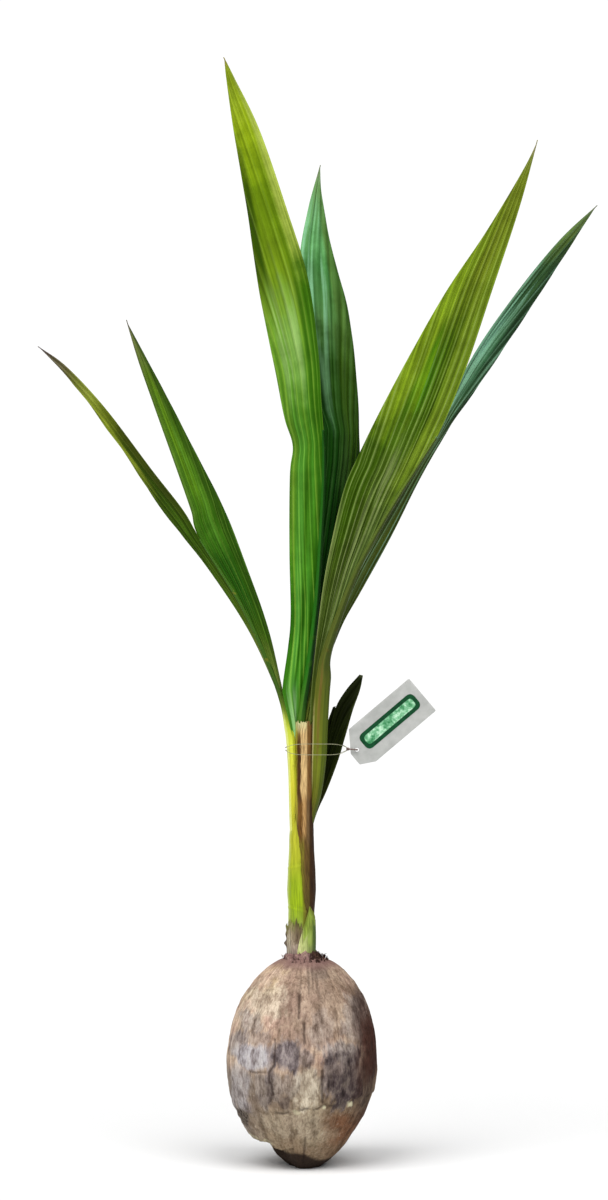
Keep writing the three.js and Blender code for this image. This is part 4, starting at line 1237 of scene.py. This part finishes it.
def husk_look():
    """Dry husk: tan fibres above, grey and dark skin in the middle, khaki husk below, and painted light and
    shade.
    """
    made = Look("husk", roughness=0.85, Specular_IOR_Level=0.08)
    step, times, ramp, attribute = made.step, made.times, made.ramp, made.attribute
    x, y, z = made.axes()
    blotch = made.mottle(26.0, 5.0, 0.62)
    warm = made.mottle(40.0, 3.0, 0.55)
    speck = made.mottle(360.0, 4.0, 0.7)
    dapple = made.streaks(0.007, 0.012, 0.0, 3.5)
    grain = made.streaks(0.0015, 0.012, 0.14)
    cross = made.streaks(0.0015, 0.010, -0.2)
    tan = ((0.28, (172, 142, 121)), (0.45, (203, 177, 154)), (0.56, (218, 194, 170)), (0.7, (198, 176, 154)))
    colour = ramp(blotch, *tan)

    def lay(tint, share, strength=1.0):
        nonlocal colour
        colour = made.blend(colour, tint, times(share, strength))

    # Yellow-tan near the top left, pink in places, and a greyer brown at the top right
    upper_left = times(step(z, 0.145, 0.185), step(x, 0.005, -0.03))
    lay((214, 192, 138), times(step(warm, 0.5, 0.62), upper_left), 0.6)
    lay((208, 172, 158), step(warm, 0.5, 0.36), 0.45)
    # Painted light: the top left made paler
    lay((218, 188, 164), upper_left, 0.4)
    upper_right = times(step(z, 0.12, 0.15), step(x, 0.002, 0.02))
    lay((138, 116, 98), times(upper_right, step(blotch, 0.3, 0.6, 1.0, 0.5)), 0.9)
    middle = times(step(z, 0.115, 0.14), made.band(x, -0.022, 0.024, 0.012))
    lay((136, 112, 98), times(middle, step(warm, 0.36, 0.6, 1.0, 0.6)), 0.8)
    # Khaki husk low down, with rust on its right and grey on its left
    khaki = ((0.3, (118, 100, 78)), (0.5, (146, 129, 104)), (0.7, (170, 156, 130)))
    lay(ramp(blotch, *khaki), step(z, 0.11, 0.08), 0.85)
    rust = times(step(x, 0.012, 0.036), step(z, 0.068, 0.052))
    lay((128, 88, 62), times(rust, step(warm, 0.38, 0.58, 0.5, 1.0)), 0.9)
    lay((136, 114, 90), step(z, 0.034, 0.02), 0.7)
    weathered = times(step(x, -0.03, -0.056), step(z, 0.11, 0.09))
    lay((158, 146, 136), times(weathered, step(blotch, 0.36, 0.56, 0.3, 1.0)), 0.85)
    lay((140, 122, 106), times(made.band(x, -0.052, -0.01, 0.008), made.band(z, 0.064, 0.102, 0.006)), 0.7)
    lay(ramp(dapple, (0.35, (184, 170, 148)), (0.6, (220, 208, 186))), attribute("pale"), 0.85)
    lay((240, 232, 216), step(speck, 0.58, 0.7), 0.25)
    # Skin: grey, violet, a pale plate and nearly black
    skins = (
        ("grey", 0.34, (122, 114, 112), (156, 148, 144), (182, 174, 168), 1.0),
        ("violet", 0.34, (98, 88, 90), (128, 117, 117), (160, 149, 145), 1.0),
        ("plate", 0.32, (164, 158, 162), (188, 184, 188), (202, 198, 198), 1.0),
        ("dark", 0.32, (52, 42, 46), (80, 69, 69), (116, 104, 96), 0.92),
    )
    for kind, low, deep, tint, light, strength in skins:
        lay(ramp(dapple, (low, deep), (0.5, tint), (0.66, light)), attribute(kind), strength)
    lay(ramp(grain, (0.38, (56, 16, 16)), (0.62, (86, 44, 36))), attribute("red_edge"))
    # Painted shade: dark brown down the right edge, on the front
    before = step(made.calc("MULTIPLY_ADD", warm, 0.08, y), 0.07, 0.025)
    lay((70, 46, 37), times(step(x, 0.042, 0.066), before, step(blotch, 0.34, 0.56, 0.95, 0.6)))
    # Broken husk, and shades in every pattern over all of it
    lay((168, 150, 122), attribute("broken"), 0.85)
    shades = (
        (attribute("strand"), 0.26, 0.55, (184, 180, 178), 0.45),
        (attribute("fibre"), 0.26, 0.5, (184, 178, 174), 0.35),
        (dapple, 0.32, 0.54, (160, 150, 144), 0.65), (grain, 0.36, 0.5, (150, 140, 132), 0.35),
        (cross, 0.36, 0.5, (150, 140, 132), 0.35), (speck, 0.36, 0.48, (150, 142, 134), 0.25),
    )
    for shade in shades:
        colour = made.shaded(colour, *shade)
    # Pale rim on the broken edge and pale chips: partly torn fibre, partly painted highlight
    lay((226, 220, 184), attribute("edge"), 0.75)
    lay(ramp(grain, (0.4, (44, 36, 32)), (0.6, (112, 102, 92))), attribute("ledge"), 0.9)
    # Painted shade: nearly black in the cracks and along the step
    lay((46, 34, 30), attribute("crack"), 0.8)
    # Nearly black at the foot: the husk's dark tip, deepened with painted shade where it meets the floor
    foot = made.calc("ADD", made.moved(z, blotch, 0.016), step(x, 0.0, 0.02, 0.0, 0.006))
    lay((42, 31, 26), step(foot, 0.0195, 0.0150), 0.95)
    lay((122, 92, 88), step(z, 0.196, 0.206), 0.75)
    made.bump(made.calc("ADD", grain, cross), 0.0007)
    made.bump(dapple, 0.0008)
    made.bump(speck, 0.0003)
    return made.finish(colour)


# Torn husk and loose fibres round the shoot

COLLAR_ROWS = 12
COLLAR_COLUMNS = 140
# The underside lies inside the nut and the stem
COLLAR_UNDERSIDE = ((12.4, 210), (12.4, 203), (19, 201))
# Spans of the strips' radius, length, lean outwards, sway, width and tone
COARSE_STRIPS = 110
COARSE_SPANS = ((15.2, 27.5), (2, 6), (-0.3, 0.7), (-0.5, 0.5), (0.5, 2.2), (0, 0.5))
FINE_STRIPS = 70
FINE_SPANS = ((15, 20), (1.5, 4), (-0.2, 0.6), (-0.6, 0.6), (0.3, 1), (0.2, 1))


def collar_look():
    """Torn husk, grey-pink on the left and dark brown on the right."""
    made = Look("torn_husk", roughness=0.9, Specular_IOR_Level=0.1)
    tone = made.attribute("tone")
    rough = made.mottle(300.0, 5.0, 0.65)
    blotch = made.mottle(110.0, 4.0, 0.6)
    colour = made.ramp(
        tone, (0.0, (98, 74, 72)), (0.35, (134, 104, 100)), (0.7, (164, 138, 126)), (1.0, (190, 170, 152))
    )
    darker = made.ramp(tone, (0.0, (30, 20, 16)), (0.5, (66, 44, 34)), (1.0, (120, 92, 74)))
    x = made.axes()[0]
    colour = made.blend(colour, darker, made.step(made.moved(x, blotch, 0.02), 0.003, 0.011, 0.0, 0.95))
    colour = made.blend(colour, (70, 50, 44), made.step(blotch, 0.55, 0.66, 0.0, 0.7))
    colour = made.shaded(colour, rough, 0.3, 0.6, (120, 104, 94), 0.8)
    made.bump(rough, 0.001)
    return made.finish(colour)


def collar_skirt():
    """Low lumpy skirt that leans on the shoot: its solid, and the tone of each point."""
    angle = turn_angles(COLLAR_COLUMNS)
    right = 0.5 + 0.5 * np.cos(angle + 0.3)
    share = np.linspace(0, 1, COLLAR_ROWS)[:, None]
    lumps = rough_noise(3.4 * np.cos(angle), 3.4 * np.sin(angle), share * 2.5, 92)
    radius = mix(20 + 6 * right, 13.8, share**1.3) + 1.2 * lumps
    height = mix(203.2 - 2.4 * right, 213.5 + 3 * right, share**1.4) + 1.9 * lumps * share
    height += 1.6 * right * np.sin(share * math.pi)
    under = np.array([level_rings(angle, *level) for level in COLLAR_UNDERSIDE])
    rings = np.vstack([level_rings(angle, radius, height), under])
    faces = ring_faces(len(rings), COLLAR_COLUMNS, looped=True)
    tone = np.append(0.35 + 0.4 * lumps, np.zeros(len(under) * COLLAR_COLUMNS))
    return (rings.reshape(-1, 3), faces), tone


def collar_strip(turn, radius, length, lean, sway, wide, tone):
    """Ragged strip that stands on the skirt and narrows upwards: its solid, and the tone of each point."""
    out = np.array([math.cos(turn), math.sin(turn), 0])
    side = np.array([-math.sin(turn), math.cos(turn), 0])
    foot = np.array([STEM_X, 0, 210.5 - 0.45 * (radius - 15)]) + out * radius
    t = np.linspace(0, 1, 6)[:, None]
    line = foot + t * length * np.array([0, 0, 1]) + t**2 * length * (lean * out + sway * side)
    half = side * wide / 2 * (1 - 0.9 * t**1.5)
    thick = out * min(0.3, wide / 4)
    middle = np.stack([line - half, line + half], axis=1)
    vertices, faces = two_sided(middle + thick, middle - thick)
    return (vertices, faces), np.full(len(vertices), tone)


def make_collar():
    """Torn husk round the shoot, with coarse strips on its right and fine ones all round."""
    rng = np.random.default_rng(91)
    pieces = [collar_skirt()]
    for _ in range(COARSE_STRIPS):
        turn = rng.normal(-0.3, 0.85)
        pieces.append(collar_strip(turn, *(rng.uniform(*span) for span in COARSE_SPANS)))
    for _ in range(FINE_STRIPS):
        turn = rng.uniform(0, TURN)
        pieces.append(collar_strip(turn, *(rng.uniform(*span) for span in FINE_SPANS)))
    solids, tones = zip(*pieces)
    attributes = {"tone": np.concatenate(tones)}
    make_piece("husk_collar_fibre", "husk_collar", collar_look(), *joined(solids), attributes)


# Tag

def tag_place(points, lift):
    """Points along and across the tag, as true points. Lift is from its face towards the viewer."""
    tilt = math.radians(TAG_TILT)
    end_x, end_y, end_z = place([[TAG_END[0], TAG_DEPTH, TAG_END[1]]])[0]
    along, across = points.T
    x = end_x + along * math.cos(tilt) - across * math.sin(tilt)
    z = end_z + along * math.sin(tilt) + across * math.cos(tilt)
    return grid(x, end_y - lift, z)


def rounded(corners, radius, steps):
    """Outline through corners, each rounded off at about a radius."""
    corners = np.array(corners, float)
    outline = []
    for before, corner, after in zip(np.roll(corners, 1, axis=0), corners, np.roll(corners, -1, axis=0)):
        a, b = unit(before - corner), unit(after - corner)
        reach = radius / math.tan(math.acos(np.clip(a @ b, -1, 1)) / 2)
        for t in np.linspace(0, 1, steps + 1):
            outline.append(corner + reach * ((1 - t) ** 2 * a + t**2 * b))
    return np.array(outline)


def slab(outline, front, back, bevel, hole=None):
    """Flat plate in the tag's plane, with bevelled edges, and a hole of (middle, radius) if there is one."""
    centre = outline.mean(0)
    smaller = centre + (outline - centre) * (1 - bevel / 20)
    loops = [
        tag_place(smaller, front), tag_place(outline, front - bevel), tag_place(outline, back + bevel),
        tag_place(smaller, back),
    ]
    count = len(outline)
    if hole is None:
        ends = [list(range(count)), list(range(3 * count, 4 * count))]
        return np.vstack(loops), ring_faces(len(loops), count) + ends
    middle, radius = hole
    spots = outline - middle
    angle = np.arctan2(spots[:, 1], spots[:, 0])
    circle = middle + radius * grid(np.cos(angle), np.sin(angle))
    loops = [tag_place(circle, front), *loops, tag_place(circle, back)]
    return np.vstack(loops), ring_faces(len(loops), count, looped=True)


def make_plate():
    """Plain pale tag with two cut corners and a hole."""
    half = TAG_WIDTH / 2
    shoulder = TAG_CUT_LENGTH - TAG_LENGTH
    corners = [
        (0, -half), (0, half), (shoulder, half), (-TAG_LENGTH, TAG_END_TO), (-TAG_LENGTH, TAG_END_FROM),
        (shoulder, -half),
    ]
    outline = rounded(corners, TAG_CORNER, 4)
    # More points along the sides, so that the plate's front has even faces
    dense = []
    for a, b in zip(outline, np.roll(outline, -1, axis=0)):
        pieces = max(1, int(np.linalg.norm(b - a) / TAG_POINT_STEP))
        dense.extend(mix(a, b, i / pieces) for i in range(pieces))
    hole = (np.array([TAG_HOLE_INSET - TAG_LENGTH, 0]), TAG_HOLE_RADIUS)
    solid = slab(np.array(dense), 0, -TAG_THICKNESS, TAG_BEVEL, hole)
    made = Look("tag_plate", roughness=0.5, Specular_IOR_Level=0.2)
    cloud = made.mottle(60.0, 4.0, 0.55)
    smudge = made.mottle(220.0, 4.0, 0.6)
    colour = made.ramp(cloud, (0.3, (160, 161, 158)), (0.5, (169, 170, 167)), (0.7, (178, 178, 175)))
    colour = made.shaded(colour, smudge, 0.3, 0.6, (238, 240, 238), 0.6)
    made.bump(smudge, 0.0001)
    make_piece("tag_plate", "tag", made.finish(colour), *solid, smooth=False)


def make_bar(name, length, width, corner, front, back, scale, *shades):
    """Thin printed bar on the tag's front, round at its corners, in shades of one colour."""
    a, b = length / 2, width / 2
    corners = np.array([(a, -b), (a, b), (-a, b), (-a, -b)]) + BAR_MIDDLE
    solid = slab(rounded(corners, corner, 6), front, back, BAR_BEVEL)
    made = Look(name, roughness=0.7, Specular_IOR_Level=0.1)
    colour = made.ramp(made.mottle(scale, 4.0, 0.6), *shades)
    make_piece(name, "tag", made.finish(colour), *solid, smooth=False)


# Thread

def thread_path(direction):
    """Squarish loop round the stalks, lifted in front and behind. Direction is 1 for up and -1 for down."""
    loop = THREAD_LOOP
    angle = turn_angles(THREAD_RINGS)
    c, s = np.cos(angle), np.sin(angle)
    power = 2 / loop["squareness"]
    x = loop["x"] + loop["half_width"] * np.sign(c) * np.abs(c) ** power
    y = loop["y"] + loop["half_depth"] * np.sign(s) * np.abs(s) ** power
    return grid(x, y, loop["z"] + direction * (THREAD_SIDE_LIFT + THREAD_LIFT * (1 - np.abs(c) ** 3)))


def thread_look(name, roughness, scale, dark, light):
    made = Look(name, roughness)
    return made.finish(made.ramp(made.mottle(scale, 3.0), (0.3, dark), (0.6, light)))


def make_threads():
    """Two loops of thread, and a twisted end with a knot where it leaves them."""
    material = thread_look("thread", 0.6, 500.0, (112, 112, 84), (150, 150, 118))
    faces = ring_faces(THREAD_RINGS, THREAD_SIDES, looped=True)
    for node, direction in (("thread_upper", 1), ("thread_lower", -1)):
        path = thread_path(direction)
        rings = tube(path, THREAD_RADIUS, THREAD_RADIUS, THREAD_SIDES, (0, 0, 1), looped=True)
        make_piece(node + "_strand", node, material, rings.reshape(-1, 3), faces)
    core = on_curve(place(THREAD_END), np.linspace(0, 1, 90))
    solids = []
    for start in (0, math.pi):
        turn = start + np.linspace(0, PLY_TURNS * TURN, 90)
        path = core + PLY_OFFSET * grid(0, np.cos(turn), np.sin(turn))
        solids.append(capped(tube(path, PLY_RADIUS, PLY_RADIUS, THREAD_SIDES)))
    turn = np.linspace(0, 2 * TURN, 120)
    faster = turn * 1.5
    knot = core[0] + grid(1.1 * np.cos(turn) + 0.5 * np.cos(faster), 0.9 * np.sin(faster), 1.1 * np.sin(turn))
    solids.append(capped(tube(knot, KNOT_RADIUS, KNOT_RADIUS, THREAD_SIDES)))
    material = thread_look("thread_end_ply", 0.7, 700.0, (58, 44, 40), (128, 108, 100))
    make_piece("thread_end_twist", "thread_end", material, *joined(solids))


# Stage

def make_stage():
    """Plain white floor and soft studio light. The camera sees a brighter world than the one that lights."""
    bpy.ops.mesh.primitive_plane_add(size=FLOOR_SIZE)
    floor = bpy.context.object
    floor.name = "floor"
    made = Look("floor", roughness=1.0, Specular_IOR_Level=0.0)
    floor.data.materials.append(made.finish(linear(FLOOR_COLOUR)))

    world = bpy.data.worlds.new("studio")
    world.use_nodes = True
    bpy.context.scene.world = world
    tree = world.node_tree
    lit = tree.nodes["Background"]
    seen = tree.nodes.new("ShaderNodeBackground")
    path = tree.nodes.new("ShaderNodeLightPath")
    mixer = tree.nodes.new("ShaderNodeMixShader")
    tree.links.new(path.outputs["Is Camera Ray"], mixer.inputs[0])
    for i, (back, strength) in enumerate(((lit, WORLD_STRENGTH), (seen, SEEN_STRENGTH)), 1):
        back.inputs["Color"].default_value = (1, 1, 1, 1)
        back.inputs["Strength"].default_value = strength
        tree.links.new(back.outputs[0], mixer.inputs[i])
    tree.links.new(mixer.outputs[0], tree.nodes["World Output"].inputs["Surface"])

    for name, strength, tilt in SUNS:
        light = bpy.data.lights.new(name, "SUN")
        light.energy = strength
        light.angle = math.radians(SUN_ANGLE)
        lamp = bpy.data.objects.new(name, light)
        lamp.rotation_euler = np.radians(tilt)
        bpy.context.scene.collection.objects.link(lamp)


def make_camera():
    camera = bpy.data.cameras.new("camera")
    camera.sensor_width = SENSOR
    camera.lens = SENSOR * VIEW_DISTANCE / VIEW_SPAN
    holder = bpy.data.objects.new("camera", camera)
    holder.location = (VIEW_X * MM, -VIEW_DISTANCE * MM, VIEW_HEIGHT * MM)
    holder.rotation_euler = (math.radians(90), 0, 0)
    bpy.context.scene.collection.objects.link(holder)
    bpy.context.scene.camera = holder
    bpy.context.scene.view_settings.view_transform = "Standard"


make_camera()
make_stage()
make_nut()
make_collar()
make_stem()
make_sheath()
make_scale(
    "papery_scale", -160, 6, papery_top, PAPERY_LOOK, 33, 1.8,
    flakes=((0.42, 223, 2.8), (0.4, 242, 2.0), (0.46, 232, 1.2)),
)
make_scale("green_scale", -14, 150, pointed_top, POINTED_LOOK, 35, 0.1, lift=0.5)
make_stalk("left_leaf_stalk", LEFT_LEAF)
make_stalk("centre_leaf_stalk", CENTRE_LEAF)
make_stalk("right_leaf_stalk", RIGHT_LEAF)
make_leaves()
make_plate()
# Plain printed bar: a dark rim with a paler middle
make_bar("tag_bar_rim", 70, 18, 6.5, 0.15, 0.02, 180.0, (0.3, (8, 50, 28)), (0.7, (18, 74, 42)))
make_bar(
    "tag_bar_middle", 62, 10, 4, 0.28, 0.1, 240.0,
    (0.36, (52, 122, 76)), (0.5, (112, 172, 130)), (0.62, (176, 214, 184)),
)
make_threads()
